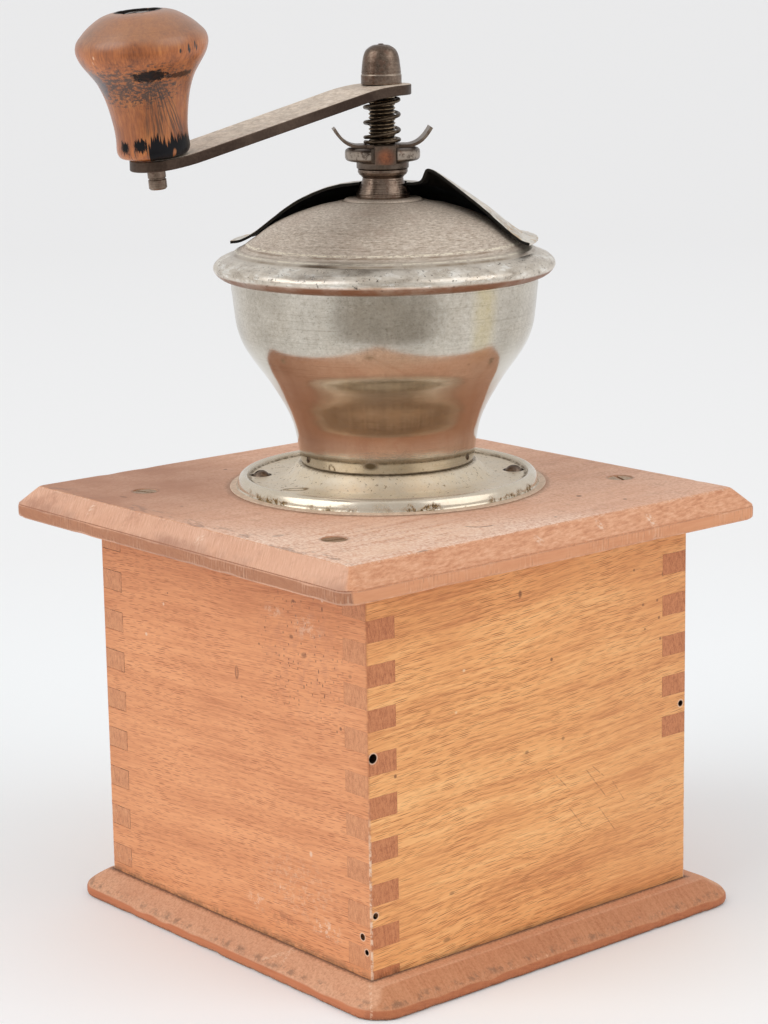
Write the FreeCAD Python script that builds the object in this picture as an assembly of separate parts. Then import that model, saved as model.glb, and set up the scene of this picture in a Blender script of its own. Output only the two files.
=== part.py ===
import FreeCAD, Part
import math
import os
from FreeCAD import Vector as V

os.makedirs("parts", exist_ok=True)

# Hand crank coffee grinder: a finger jointed wooden box on a base board, a top
# board carrying a metal hopper, a burr set below it and a crank on top.
# Frame: +Z up, origin on the underside of the base at the centre of the box,
# drawer towards -Y. All lengths in millimetres.

# ------------------------------------------------------------------ dimensions
# wooden case
BOX_HX, BOX_HY = 62.5, 61.9          # outer half widths of the box
WALL = 10.0                          # board thickness of the box
BASE_T = 7.6                         # base board thickness
BOX_TOP = 119.5                      # upper edge of the box
TOP_T = 9.35                         # top board thickness
BASE_HX, BASE_HY = 73.0, 72.2        # base board half widths
BASE_CX, BASE_CY = -1.38, -1.61      # base board centre, as fitted by hand
BASE_R = 9.7                         # base board corner radius
BASE_EDGE = 3.3                      # height of the base's upright edge
BASE_BEVEL = 7.2                     # width of the base's bevel
TOP_HX, TOP_HY = 79.7, 78.9          # top board half widths
TOP_CX, TOP_CY = 1.74, 2.10          # top board centre, as fitted by hand
TOP_R = 4.85                         # top board corner radius
TOP_EDGE = 3.96                      # height of the top board's upright edge
TOP_BEVEL = 5.92                     # width of the top board's bevel
FINGER_Z0 = 10.2                     # lower end of the first side panel finger
FINGER_P = 12.44                     # finger pitch, two fingers
FRONT_Z0 = FINGER_Z0 + 3.5 * FINGER_P  # lower edge of the front panel

# hopper
HX, HY = 3.87, -2.42                 # spindle and hopper axis
VIEW_A = 140.0                       # heading of the fixed half of the dome
FLANGE_R = 47.3                      # thin brim of the flange
BEAD_R = 45.1                        # raised bead inside the brim
FLANGE_BORE = 23.5
FLANGE_SCREW_R = 38.0
FLANGE_SCREW_A = (47.5, 235.0)
BOWL_T = 1.0
DOME_OPEN_A = (-122.5, 42.5)         # sector of the fill opening
DOME_OPEN_R = (13.5, 38.0)
DOOR_A = (-152.0, 48.0)              # sector that the closed fill door covers
DOOR_T = 0.8

# spindle and crank
SPINDLE_R = 3.95
BEARING_R = 4.02
THREAD_P = 1.1
ARM_A = 92.87                        # heading of the crank arm at rest
ARM_T = 3.1
ARM_TOP = 247.1                      # upper face of the arm at the spindle
ARM_L = 83.6                         # from the spindle to the centre of the arm's round end
PIN_L = 84.3                         # crank radius
ARM_R1, ARM_R2 = 8.7, 7.4            # end radii at spindle and at knob
ARM_SLOPE, ARM_END = 11.7, 5.9       # slope of the arm and of its knob end
ARM_BEND1, ARM_BEND2 = 5.87, 78.0    # where the slope starts and eases
NOTCH_A, TAB_A = 142.8, 144.5        # headings of the nut's notch and of the latch tab
PIN_R = 2.5
KNOB_GAP = 0.4
KNOB_BORE = 2.58

# drawer
DR_GAP = 0.4
DR_FRONT_T = 10.0
DR_SIDE_T = 6.0
DR_BACK_Y = 51.4                     # the back board stops against the rear panel
DR_SIDE_H = 38.0
DR_BOTTOM_T = 3.0

ZT = BOX_TOP + TOP_T                 # upper face of the top board


# ---------------------------------------------------------------------- helpers
def box(x0, x1, y0, y1, z0, z1):
    return Part.makeBox(x1 - x0, y1 - y0, z1 - z0, V(x0, y0, z0))


def cyl(x, y, z0, z1, r):
    return Part.makeCylinder(r, z1 - z0, V(x, y, z0))


def one(shape):
    """Merge split faces and return a single solid."""
    s = shape.removeSplitter()
    return s.Solids[0] if len(s.Solids) == 1 else s


def fuse(*shapes):
    return one(shapes[0].multiFuse(list(shapes[1:])))


def cut(a, *tools):
    return one(a.cut(list(tools)))


def rrect(cx, cy, hx, hy, r, z):
    """Rounded rectangle wire at height z."""
    k = r * (1 - math.sqrt(0.5))
    e = []
    P = lambda x, y: V(cx + x, cy + y, z)
    e.append(Part.makeLine(P(-hx + r, -hy), P(hx - r, -hy)))
    e.append(Part.Arc(P(hx - r, -hy), P(hx - k, -hy + k), P(hx, -hy + r)).toShape())
    e.append(Part.makeLine(P(hx, -hy + r), P(hx, hy - r)))
    e.append(Part.Arc(P(hx, hy - r), P(hx - k, hy - k), P(hx - r, hy)).toShape())
    e.append(Part.makeLine(P(hx - r, hy), P(-hx + r, hy)))
    e.append(Part.Arc(P(-hx + r, hy), P(-hx + k, hy - k), P(-hx, hy - r)).toShape())
    e.append(Part.makeLine(P(-hx, hy - r), P(-hx, -hy + r)))
    e.append(Part.Arc(P(-hx, -hy + r), P(-hx + k, -hy + k), P(-hx + r, -hy)).toShape())
    return Part.Wire(e)


def board(cx, cy, hx, hy, r, z0, ze, z1, bevel, r_top, ease):
    """Board with eased lower edge, upright edge and a wide bevel above it."""
    low = Part.makeLoft([rrect(cx, cy, hx - ease, hy - ease, r - ease, z0),
                         rrect(cx, cy, hx, hy, r, z0 + ease)], True, True)
    mid = Part.Face(rrect(cx, cy, hx, hy, r, z0 + ease)).extrude(V(0, 0, ze - z0 - ease))
    top = Part.makeLoft([rrect(cx, cy, hx, hy, r, ze),
                         rrect(cx, cy, hx - bevel, hy - bevel, r_top, z1)], True, True)
    return fuse(mid, low, top)


def edges_of(start, segs):
    """Edges of an (r, z) outline: ("l", p), ("s", [p...]) or ("a", mid, end)."""
    P = lambda p: V(p[0], 0, p[1])
    out, cur = [], start
    for s in segs:
        if s[0] == "l":
            out.append(Part.makeLine(P(cur), P(s[1])))
            cur = s[1]
        elif s[0] == "a":
            out.append(Part.Arc(P(cur), P(s[1]), P(s[2])).toShape())
            cur = s[2]
        else:
            c = Part.BSplineCurve()
            c.interpolate([P(cur)] + [P(q) for q in s[1]])
            out.append(c.toShape())
            cur = s[1][-1]
    if (cur[0] - start[0]) ** 2 + (cur[1] - start[1]) ** 2 > 1e-12:
        out.append(Part.makeLine(P(cur), P(start)))
    return out


def turned(start, segs, x=HX, y=HY, a0=0.0, da=360.0):
    """Solid of revolution of an (r, z) outline about a vertical axis."""
    f = Part.Face(Part.Wire(edges_of(start, segs)))
    s = f.revolve(V(0, 0, 0), V(0, 0, 1), da)
    if s.ShapeType != "Solid":
        s = s.Solids[0]
    if a0:
        s.rotate(V(0, 0, 0), V(0, 0, 1), a0)
    s.translate(V(x, y, 0))
    if s.Volume < 0:
        s.reverse()
    return s


def offset_curve(pts, d):
    """Points moved by d to the right hand side of the way they run."""
    out = []
    for i, p in enumerate(pts):
        a = pts[max(i - 1, 0)]
        b = pts[min(i + 1, len(pts) - 1)]
        tx, tz = b[0] - a[0], b[1] - a[1]
        n = math.hypot(tx, tz)
        out.append((p[0] + d * tz / n, p[1] - d * tx / n))
    return out


def polar(r, a, x=HX, y=HY):
    return x + r * math.cos(math.radians(a)), y + r * math.sin(math.radians(a))


def radial_box(r0, r1, w, z0, z1, a, x=HX, y=HY):
    """Box lying along a heading, from radius r0 to r1 about the axis."""
    b = box(r0, r1, -w / 2.0, w / 2.0, z0, z1)
    b.rotate(V(0, 0, 0), V(0, 0, 1), a)
    b.translate(V(x, y, 0))
    return b


def wood_screw(x, y, z, up, head_r, shank_r, length, slot_a, gap=0.0, slot=True):
    """Countersunk screw whose head lies at z and whose shank runs down (up=1)
    or up (up=-1). With gap it is the hole that takes the screw."""
    hr, sr = head_r + gap, shank_r + gap
    hh = (head_r - shank_r) * 1.05
    tip = length + gap
    pts = [("l", (hr, 0)), ("l", (hr, -0.35 - gap)), ("l", (sr, -0.35 - gap - hh)),
           ("l", (sr, -tip + 2.4)), ("l", (0.35 + gap, -tip)), ("l", (0, -tip))]
    f = Part.Face(Part.Wire(edges_of((0, 0), pts)))
    s = f.revolve(V(0, 0, 0), V(0, 0, 1), 360)
    s = s.Solids[0] if s.ShapeType != "Solid" else s
    if s.Volume < 0:
        s.reverse()
    if slot and gap == 0.0:
        b = box(-head_r - 1, head_r + 1, -0.5, 0.5, -0.95, 0.5)
        b.rotate(V(0, 0, 0), V(0, 0, 1), slot_a)
        s = cut(s, b)
    if gap:
        s = fuse(s, Part.makeCylinder(hr, 1.0, V(0, 0, 0)))
    if up < 0:
        s.rotate(V(0, 0, 0), V(1, 0, 0), 180)
    s.translate(V(x, y, z))
    return s


def dome_screw(x, y, z, up, head_r, head_h, shank_r, length, slot_a):
    """Round head screw whose head stands on z."""
    f = Part.Face(Part.Wire(edges_of(
        (0, head_h), [("a", (head_r * 0.62, head_h * 0.76), (head_r, 0.35)), ("l", (head_r, 0)),
                      ("l", (shank_r, 0)), ("l", (shank_r, -length + 1.2)),
                      ("l", (shank_r - 0.6, -length)), ("l", (0, -length))])))
    s = f.revolve(V(0, 0, 0), V(0, 0, 1), 360)
    s = s.Solids[0] if s.ShapeType != "Solid" else s
    if s.Volume < 0:
        s.reverse()
    b = box(-head_r - 1, head_r + 1, -0.5, 0.5, head_h - 1.0, head_h + 1)
    b.rotate(V(0, 0, 0), V(0, 0, 1), slot_a)
    s = cut(s, b)
    if up < 0:
        s.rotate(V(0, 0, 0), V(1, 0, 0), 180)
    s.translate(V(x, y, z))
    return s


NODES = {}


def node(name, *solids):
    shape = solids[0] if len(solids) == 1 else Part.makeCompound(list(solids))
    NODES[name] = shape


# ----------------------------------------------------------------- wooden case
IX, IY = BOX_HX - WALL, BOX_HY - WALL      # inner half widths

# heights where a corner belongs to the side panels; the rest is the rear's or front's
side_f = []
k = 0
while FINGER_Z0 + k * FINGER_P < BOX_TOP:
    a = FINGER_Z0 + k * FINGER_P
    side_f.append((a, min(a + FINGER_P / 2, BOX_TOP)))
    k += 1
rear_f = [(BASE_T, FINGER_Z0)]
for a, b in side_f:
    if b < BOX_TOP:
        rear_f.append((b, min(b + FINGER_P / 2, BOX_TOP)))

top_screw_xy = [(45.6, 56.9), (-44.5, 57.6), (-39.3, -57.4), (44.5, -57.2)]
top_screw_a = [24.0, 75.0, 158.0, 110.0]
base_screw_xy = [(44.0, 56.9), (-44.0, 56.9), (57.4, -36.0), (-57.4, -36.0)]
base_screw_a = [15.0, 100.0, 60.0, 140.0]
TS = (3.7, 1.7, 26.0)                      # head radius, shank radius, length
BS = (3.6, 1.7, 24.0)
top_screws = [wood_screw(x, y, ZT - 0.25, 1, *TS, a) for (x, y), a in zip(top_screw_xy, top_screw_a)]
top_holes = [wood_screw(x, y, ZT - 0.25, 1, *TS, a, gap=0.03) for (x, y), a in zip(top_screw_xy, top_screw_a)]
base_screws = [wood_screw(x, y, 0.3, -1, *BS, a) for (x, y), a in zip(base_screw_xy, base_screw_a)]
base_holes = [wood_screw(x, y, 0.3, -1, *BS, a, gap=0.03) for (x, y), a in zip(base_screw_xy, base_screw_a)]

base = board(BASE_CX, BASE_CY, BASE_HX, BASE_HY, BASE_R, 0.0, BASE_EDGE, BASE_T,
             BASE_BEVEL, BASE_R - BASE_BEVEL, 0.7)
node("base_board", cut(base, *base_holes))

# flight holes of wood worm: short blind drillings from the outer faces
worm = [
    Part.makeCylinder(1.3, 6.0, V(-BOX_HX - 1, 60.3, 71.1), V(1, 0, 0)),
    Part.makeCylinder(0.85, 5.0, V(-BOX_HX - 1, 60.5, 25.9), V(1, -0.2, 0.1)),
    Part.makeCylinder(0.9, 6.0, V(-58.8, BOX_HY + 1, 19.3), V(0.1, -1, 0)),
    Part.makeCylinder(0.75, 5.0, V(-60.4, BOX_HY + 1, 15.1), V(0, -1, 0.1)),
    Part.makeCylinder(0.9, 5.0, V(-BOX_HX - 1, -59.8, 62.8), V(1, 0, 0)),
]


def side_panel(sx):
    lo, hi = sorted((sx * IX, sx * BOX_HX))
    parts = [box(lo, hi, -IY, IY, BASE_T, BOX_TOP)]
    for a, b in side_f:
        parts.append(box(lo, hi, IY, BOX_HY, a, b))
        if a > FRONT_Z0:
            parts.append(box(lo, hi, -BOX_HY, -IY, a, b))
    parts.append(box(lo, hi, -BOX_HY, -IY, BASE_T, FRONT_Z0))
    return fuse(*parts)


def cross_panel(sy, z0):
    lo, hi = sorted((sy * IY, sy * BOX_HY))
    parts = [box(-IX, IX, lo, hi, z0, BOX_TOP)]
    for a, b in rear_f:
        if b > z0 + 0.5:
            parts.append(box(IX, BOX_HX, lo, hi, max(a, z0), b))
            parts.append(box(-BOX_HX, -IX, lo, hi, max(a, z0), b))
    return fuse(*parts)


node("left_side_panel", cut(side_panel(-1), *(worm + top_holes + base_holes)))
node("right_side_panel", cut(side_panel(1), *(top_holes + base_holes)))
node("rear_panel", cut(cross_panel(1, BASE_T), *(worm + top_holes + base_holes)))
node("front_panel", cut(cross_panel(-1, FRONT_Z0), *(worm + top_holes)))

top = board(TOP_CX, TOP_CY, TOP_HX, TOP_HY, TOP_R, BOX_TOP, BOX_TOP + TOP_EDGE, ZT,
            TOP_BEVEL, 1.2, 0.4)
node("top_board_screws", *top_screws)
node("base_screws", *base_screws)

# --------------------------------------------------------------------- hopper
SEAT = ZT + 2.15                           # seat of the flange screw heads
flange_scr = []
flange_cut = []
for n, a in enumerate(FLANGE_SCREW_A):
    x, y = polar(FLANGE_SCREW_R, a)
    flange_scr.append(dome_screw(x, y, SEAT, 1, 2.65, 2.0, 1.6, 10.4, 132.0 + 50 * n))
    flange_cut.append(cyl(x, y, SEAT, SEAT + 6, 3.1))
    flange_cut.append(cyl(x, y, ZT - 8.3, SEAT + 1, 1.63))

flange = turned((FLANGE_BORE, ZT), [
    ("l", (FLANGE_R - 0.2, ZT)), ("l", (FLANGE_R, ZT + 0.15)), ("l", (FLANGE_R - 0.15, ZT + 0.4)),
    ("l", (BEAD_R + 0.2, ZT + 0.6)),
    ("s", [(BEAD_R, ZT + 1.0), (BEAD_R - 0.2, ZT + 1.9), (BEAD_R - 0.8, ZT + 3.2),
           (BEAD_R - 1.95, ZT + 4.05), (BEAD_R - 2.95, ZT + 3.75), (BEAD_R - 3.4, ZT + 3.1),
           (BEAD_R - 3.8, ZT + 2.75)]),
    ("l", (33.0, ZT + 2.75)),
    ("s", [(31.0, ZT + 3.15), (29.0, ZT + 4.65), (27.3, ZT + 6.4), (26.4, ZT + 7.1), (26.0, ZT + 7.25)]),
    ("l", (FLANGE_BORE, ZT + 7.25)),
])
node("hopper_flange", cut(flange, *flange_cut))
node("flange_screws", *flange_scr)
BOWL_Z = ZT + 7.25

bowl_out = [(25.75, BOWL_Z + 0.4), (26.25, 139.0), (26.88, 143.1), (27.9, 148.0), (29.9, 152.8),
            (32.6, 157.6), (35.65, 162.45), (39.2, 167.25), (42.1, 172.0), (43.8, 176.8),
            (44.5, 181.6), (45.0, 186.3), (45.3, 188.7)]
bowl_in = offset_curve(bowl_out, -BOWL_T)
bowl_in[0] = (bowl_in[0][0], BOWL_Z + BOWL_T + 0.35)
bowl_in[-1] = (45.3 - BOWL_T, 188.7)
bowl = turned((FLANGE_BORE, BOWL_Z), [
    ("l", (25.4, BOWL_Z)), ("l", bowl_out[0]), ("s", bowl_out[1:]),
    ("l", (45.3, 196.0)), ("l", (45.3 - BOWL_T, 196.0)), ("l", bowl_in[-1]),
    ("s", bowl_in[-2::-1]), ("l", (bowl_in[0][0] - 0.4, BOWL_Z + BOWL_T)),
    ("l", (FLANGE_BORE, BOWL_Z + BOWL_T)),
])
node("hopper_bowl", bowl)

dome = turned((45.36, 191.0), [
    ("s", [(47.0, 191.35), (48.4, 191.95), (49.75, 193.15), (50.4, 194.45), (50.0, 195.75), (48.75, 196.95)]),
    ("s", [(46.9, 197.8), (44.8, 198.6)]),
    ("l", (43.9, 199.45)), ("l", (42.2, 200.25)), ("l", (41.0, 200.95)),
    ("s", [(40.2, 201.6), (38.3, 202.9), (33.5, 206.3), (29.0, 208.6), (24.5, 210.4),
           (18.4, 212.3), (12.0, 213.45)]),
    ("l", (11.65, 213.6)), ("l", (11.3, 214.05)), ("l", (10.8, 214.25)),
    ("l", (6.0, 214.25)), ("l", (6.0, 213.15)), ("l", (10.0, 213.1)),
    ("s", [(12.2, 212.3), (18.2, 211.1), (24.1, 209.3), (28.5, 207.55), (32.9, 205.3), (37.6, 201.9),
           (40.8, 199.6)]),
    ("l", (42.7, 198.2)), ("l", (43.0, 196.3)), ("l", (45.36, 196.3)),
])
gap = turned((DOME_OPEN_R[0], 195), [("l", (DOME_OPEN_R[1], 195)), ("l", (DOME_OPEN_R[1], 220)),
                                     ("l", (DOME_OPEN_R[0], 220))],
             a0=DOME_OPEN_A[0], da=DOME_OPEN_A[1] - DOME_OPEN_A[0])
node("dome_cover", cut(dome, gap))

node("bearing_collar", turned((BEARING_R, 211.0), [
    ("l", (7.3, 211.0)), ("l", (7.3, 213.05)), ("l", (5.98, 213.05)), ("l", (5.98, 214.27)),
    ("l", (7.75, 214.27)), ("l", (7.85, 214.4)), ("l", (7.85, 215.75)), ("l", (7.62, 215.95)),
    ("s", [(7.0, 217.2), (6.45, 218.5), (6.1, 219.5), (6.0, 220.1)]),
    ("s", [(6.3, 220.55), (7.0, 221.15), (7.35, 221.9), (7.3, 222.55)]),
    ("l", (7.05, 222.75)), ("l", (BEARING_R, 222.75)),
]))

# fill door: half dome sheet turning about the collar's neck, one edge upturned
door_base = [(7.1, 218.75), (9.6, 218.58), (11.2, 218.42), (12.2, 218.3), (12.9, 218.2), (13.6, 218.06),
             (15.2, 217.7), (18.0, 216.9), (24.0, 214.4), (29.0, 211.4), (33.0, 208.4), (38.1, 204.6),
             (41.5, 202.8), (43.5, 202.15), (45.4, 201.95)]
door_lip = [0.0, 0.25, 0.75, 1.7, 3.35, 4.65, 4.95, 4.3, 2.6, 2.0, 1.9, 1.4, 0.7, 0.3, 0.1]


def door_wire(a):
    t = (DOOR_A[0] + 44.0 - a) / 44.0
    t = max(0.0, min(1.0, t))
    f = t * t * (3 - 2 * t)
    up = [(p[0], p[1] + f * q) for p, q in zip(door_base, door_lip)]
    dn = offset_curve(up, DOOR_T)
    c, s = math.cos(math.radians(a)), math.sin(math.radians(a))
    P = lambda p: V(HX + p[0] * c, HY + p[0] * s, p[1])
    b1, b2 = Part.BSplineCurve(), Part.BSplineCurve()
    b1.interpolate([P(p) for p in up])
    b2.interpolate([P(p) for p in dn[::-1]])
    return Part.Wire([b1.toShape(), Part.makeLine(P(up[-1]), P(dn[-1])), b2.toShape(),
                      Part.makeLine(P(dn[0]), P(up[0]))])


n_sec = 21
door = Part.makeLoft([door_wire(DOOR_A[0] + (DOOR_A[1] - DOOR_A[0]) * i / (n_sec - 1.0))
                      for i in range(n_sec)], True, False)
door = door.Solids[0]
if door.Volume < 0:
    door.reverse()
node("fill_door", door)

# -------------------------------------------------------------------- burr set
ob = turned((24.0, BOX_TOP), [
    ("s", [(22.6, 110.0), (20.7, 101.0), (20.25, 96.5)]), ("l", (20.25, 92.5)), ("l", (27.0, 92.5)),
    ("l", (27.0, 114.6)), ("l", (27.9, 115.5)), ("l", (36.5, 115.5)), ("l", (36.5, BOX_TOP)),
])
lugs = [radial_box(22.6, 33.0, 13.0, 88.5, 98.0, a) for a in (0.0, 180.0)]
lug_bore = cyl(HX, HY, 80, 99, 22.8)
ob = fuse(ob, *[cut(l, lug_bore) for l in lugs])
flutes = []
for i in range(14):
    a = 360.0 / 14 * i
    p0 = V(*polar(24.3, a), BOX_TOP + 2)
    p1 = V(*polar(20.9, a + 26.0), 91.0)
    flutes.append(Part.makeCylinder(1.25, (p1 - p0).Length, p0, p1 - p0))
burr_scr = []
for i, a in enumerate((90.0, 210.0, 330.0)):
    x, y = polar(31.8, a)
    burr_scr.append(dome_screw(x, y, 115.5, -1, 3.2, 2.2, 1.7, 10.2, 35.0 * i))
    flutes.append(cyl(x, y, 115.0, BOX_TOP + 6.7, 1.73))
bridge_scr = []
for a in (0.0, 180.0):
    x, y = polar(28.5, a)
    bridge_scr.append(dome_screw(x, y, 84.5, -1, 3.4, 2.3, 2.0, 10.0, 30.0 + a / 4))
    flutes.append(cyl(x, y, 80.0, 95.2, 2.03))
node("outer_burr", cut(ob, *flutes))
node("outer_burr_screws", *burr_scr)
node("lower_bridge_screws", *bridge_scr)
bar = fuse(radial_box(-33.0, 33.0, 13.0, 84.5, 88.45, 0.0), cyl(HX, HY, 80.0, 88.45, 8.0))
node("lower_bridge", cut(bar, cyl(HX, HY, 70, 95, BEARING_R),
                         *[cyl(*polar(28.5, a), 80.0, 95.0, 2.05) for a in (0.0, 180.0)]))

ib = turned((SPINDLE_R + 0.03, 93.0), [
    ("l", (9.0, 93.0)), ("l", (10.0, 94.4)), ("l", (18.9, 94.4)), ("l", (19.6, 95.1)), ("l", (19.6, 97.4)),
    ("s", [(18.6, 100.5), (15.4, 107.5), (12.0, 114.5), (9.4, 119.5)]), ("l", (7.4, 121.5)),
    ("l", (SPINDLE_R + 0.03, 121.5)),
])
teeth = []
for i in range(10):
    a = 36.0 * i
    p0 = V(*polar(9.6, a), 123.0)
    p1 = V(*polar(20.6, a - 34.0), 93.0)
    teeth.append(Part.makeCylinder(1.9, (p1 - p0).Length, p0, p1 - p0))
pin_hole = Part.makeCylinder(1.5, 40, V(HX - 20, HY, 118.0), V(1, 0, 0))
node("inner_burr", cut(ib, *(teeth + [pin_hole])))
node("burr_pin", Part.makeCylinder(1.48, 15.0, V(HX - 7.5, HY, 118.0), V(1, 0, 0)))

# --------------------------------------------------------------------- spindle
ARM_BOT = ARM_TOP - ARM_T
th = []
z = 223.2
SHOULDER = ARM_BOT - 0.3                   # just below the start of the arm's bend
while z + THREAD_P < SHOULDER - 0.3:
    th += [("l", (SPINDLE_R, z)), ("l", (SPINDLE_R - 0.48, z + THREAD_P / 2))]
    z += THREAD_P
th += [("l", (SPINDLE_R, z)), ("l", (SPINDLE_R, SHOULDER)), ("l", (2.9, SHOULDER)), ("l", (2.9, 255.2)),
       ("l", (2.3, 256.0)), ("l", (0, 256.0))]
spindle = turned((0, 79.0), [("l", (3.2, 79.0)), ("l", (SPINDLE_R, 79.8))] + th)
tang = box(-3.0, 3.0, -3.0, 3.0, SHOULDER - 0.01, ARM_TOP - 0.05)
tang.rotate(V(0, 0, 0), V(0, 0, 1), ARM_A)
tang.translate(V(HX, HY, 0))
spindle = fuse(spindle, tang)
key = radial_box(2.95, 5.0, 1.9, 228.0, ARM_BOT, VIEW_A + 180)
node("spindle", cut(spindle, key, pin_hole))

nut = turned((BEARING_R - 0.02, 222.8), [
    ("l", (7.45, 222.8)), ("l", (7.65, 223.0)), ("l", (7.65, 224.5)), ("l", (8.0, 224.85)),
    ("s", [(9.3, 224.95), (10.35, 225.2), (10.85, 225.7), (11.0, 226.3)]), ("l", (11.0, 227.5)),
    ("s", [(10.85, 228.15), (10.3, 228.65), (9.6, 228.9)]), ("l", (BEARING_R - 0.02, 228.9)),
])
notches = [radial_box(8.4, 13.0, 7.6, 224.0, 230.0, NOTCH_A + d) for d in (0, 120, 240)]
node("adjusting_nut", cut(nut, *notches))

# latch plate: hub, two upswept wings, a tab bent down into a notch of the nut
PZ = 228.95
PT = 0.9
wing_lo = [(6.6, PZ), (8.2, PZ + 0.08), (10.6, PZ + 0.95), (12.8, PZ + 2.85), (14.55, PZ + 5.4)]
wing_hi = offset_curve(wing_lo, -PT)
wing_hi[0] = (6.6, PZ + PT)
P = lambda p: V(p[0], -4.0, p[1])
s1, s2 = Part.BSplineCurve(), Part.BSplineCurve()
s1.interpolate([P(p) for p in wing_lo])
s2.interpolate([P(p) for p in wing_hi[::-1]])
wf = Part.Face(Part.Wire([Part.makeLine(V(0, -4, PZ), P(wing_lo[0])), s1.toShape(),
                          Part.makeLine(P(wing_lo[-1]), P(wing_hi[-1])), s2.toShape(),
                          Part.makeLine(P(wing_hi[0]), V(0, -4, PZ + PT)),
                          Part.makeLine(V(0, -4, PZ + PT), V(0, -4, PZ))]))
wing = wf.extrude(V(0, 8.0, 0))
plate_parts = []
for a in (TAB_A - 90, TAB_A + 90):
    w = wing.copy()
    w.rotate(V(0, 0, 0), V(0, 0, 1), a)
    w.translate(V(HX, HY, 0))
    plate_parts.append(w)
plate_parts.append(cyl(HX, HY, PZ, PZ + PT, 6.4))
plate_parts.append(radial_box(0, 10.45, 6.1, PZ, PZ + PT, TAB_A))
plate_parts.append(radial_box(10.45 - PT, 10.45, 6.1, 224.45, PZ + PT, TAB_A))
plate = fuse(*plate_parts)
plate = cut(plate, cyl(HX, HY, 220, 240, 4.1))
tooth = radial_box(3.15, 5.0, 1.6, PZ, PZ + PT, VIEW_A + 180)
node("latch_plate", fuse(plate, tooth))

# latch spring: one closed coil at the foot, then open coils up to the arm
SW = 0.55
SPRING_R = 4.97
# height of the wire's centre above the plate at each half turn
coil_t = [0.0, 0.5, 1.0, 1.5, 2.0, 2.5, 3.0, 3.5, 3.8]
coil_h = [0.57, 1.16, 1.95, 3.95, 6.2, 8.45, 10.65, 12.7, 13.2]


def spring_z(t):
    """Height of the wire's centre after t turns, by a cubic through the half turns."""
    i = 0
    while i < len(coil_t) - 2 and t > coil_t[i + 1]:
        i += 1
    m = []
    for k in (i, i + 1):
        lo, hi = max(k - 1, 0), min(k + 1, len(coil_t) - 1)
        m.append((coil_h[hi] - coil_h[lo]) / (coil_t[hi] - coil_t[lo]))
    w = coil_t[i + 1] - coil_t[i]
    u = (t - coil_t[i]) / w
    return (PZ + PT + coil_h[i] * (2 * u ** 3 - 3 * u ** 2 + 1) + m[0] * w * (u ** 3 - 2 * u ** 2 + u)
            + coil_h[i + 1] * (3 * u ** 2 - 2 * u ** 3) + m[1] * w * (u ** 3 - u ** 2))


def wire_end(t):
    """Centre of the spring's wire after t turns."""
    a = 2 * math.pi * t
    return V(SPRING_R * math.cos(a), SPRING_R * math.sin(a), spring_z(t))


# the wire as short straight rods of equal turn, each with eight flats
N_FLAT = 8
n_sp = int(coil_t[-1] * 18)
hoops = []
for i in range(n_sp + 1):
    t = coil_t[-1] * i / n_sp
    a = 2 * math.pi * t
    p = wire_end(t)
    d = wire_end(t + 0.002) - wire_end(t - 0.002)
    d.normalize()
    out = V(math.cos(a), math.sin(a), 0)
    up = out.cross(d)
    hoops.append([p + out * (SW * math.cos(b)) + up * (SW * math.sin(b))
                  for b in [2 * math.pi * m / N_FLAT for m in range(N_FLAT)]])
tri = lambda a, b, c: Part.Face(Part.makePolygon([a, b, c, a]))
skin = []
for h0, h1 in zip(hoops[:-1], hoops[1:]):
    for m in range(N_FLAT):
        n = (m + 1) % N_FLAT
        skin += [tri(h0[m], h0[n], h1[n]), tri(h0[m], h1[n], h1[m])]
for hp in (hoops[0], hoops[-1]):
    skin.append(Part.Face(Part.makePolygon(hp + [hp[0]])))
shell = Part.makeShell(skin)
shell.sewShape()
spring = Part.Solid(shell)
if spring.Volume < 0:
    spring.reverse()
spring.rotate(V(0, 0, 0), V(0, 0, 1), VIEW_A - 90)
spring.translate(V(HX, HY, 0))
node("latch_spring", spring)

# -------------------------------------------------------------------- crank
ts, te = math.tan(math.radians(ARM_SLOPE)), math.tan(math.radians(ARM_END))
za = ARM_TOP - ARM_T / 2.0
c0 = (-ARM_R1 - 2.0, za)
c1 = (ARM_BEND1, za)
c2 = (ARM_BEND2, za - ts * (ARM_BEND2 - ARM_BEND1))
c3 = (ARM_L + ARM_R2 + 2.0, c2[1] - te * (ARM_L + ARM_R2 + 2.0 - ARM_BEND2))


def bent(pts, tl, d):
    """Edges of a bent bar's face, offset d from its middle line."""
    out = []
    dirs = []
    for a, b in zip(pts[:-1], pts[1:]):
        n = math.hypot(b[0] - a[0], b[1] - a[1])
        dirs.append(((b[0] - a[0]) / n, (b[1] - a[1]) / n))
    off = lambda p, u: (p[0] - d * u[1], p[1] + d * u[0])
    cur = off(pts[0], dirs[0])
    for i in range(1, len(pts) - 1):
        u, v = dirs[i - 1], dirs[i]
        turn = math.acos(max(-1, min(1, u[0] * v[0] + u[1] * v[1])))
        r = tl[i - 1] / math.tan(turn / 2)
        a = (pts[i][0] - u[0] * tl[i - 1], pts[i][1] - u[1] * tl[i - 1])
        b = (pts[i][0] + v[0] * tl[i - 1], pts[i][1] + v[1] * tl[i - 1])
        sg = 1.0 if u[0] * v[1] - u[1] * v[0] > 0 else -1.0
        cen = (a[0] - sg * r * u[1], a[1] + sg * r * u[0])
        m = ((a[0] + b[0]) / 2 - cen[0], (a[1] + b[1]) / 2 - cen[1])
        mn = math.hypot(*m)
        rr = r - sg * d
        mid = (cen[0] + m[0] / mn * rr, cen[1] + m[1] / mn * rr)
        out.append(("l", off(a, u)))
        out.append(("a", mid, off(b, v)))
    out.append(("l", off(pts[-1], dirs[-1])))
    return cur, out


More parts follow.
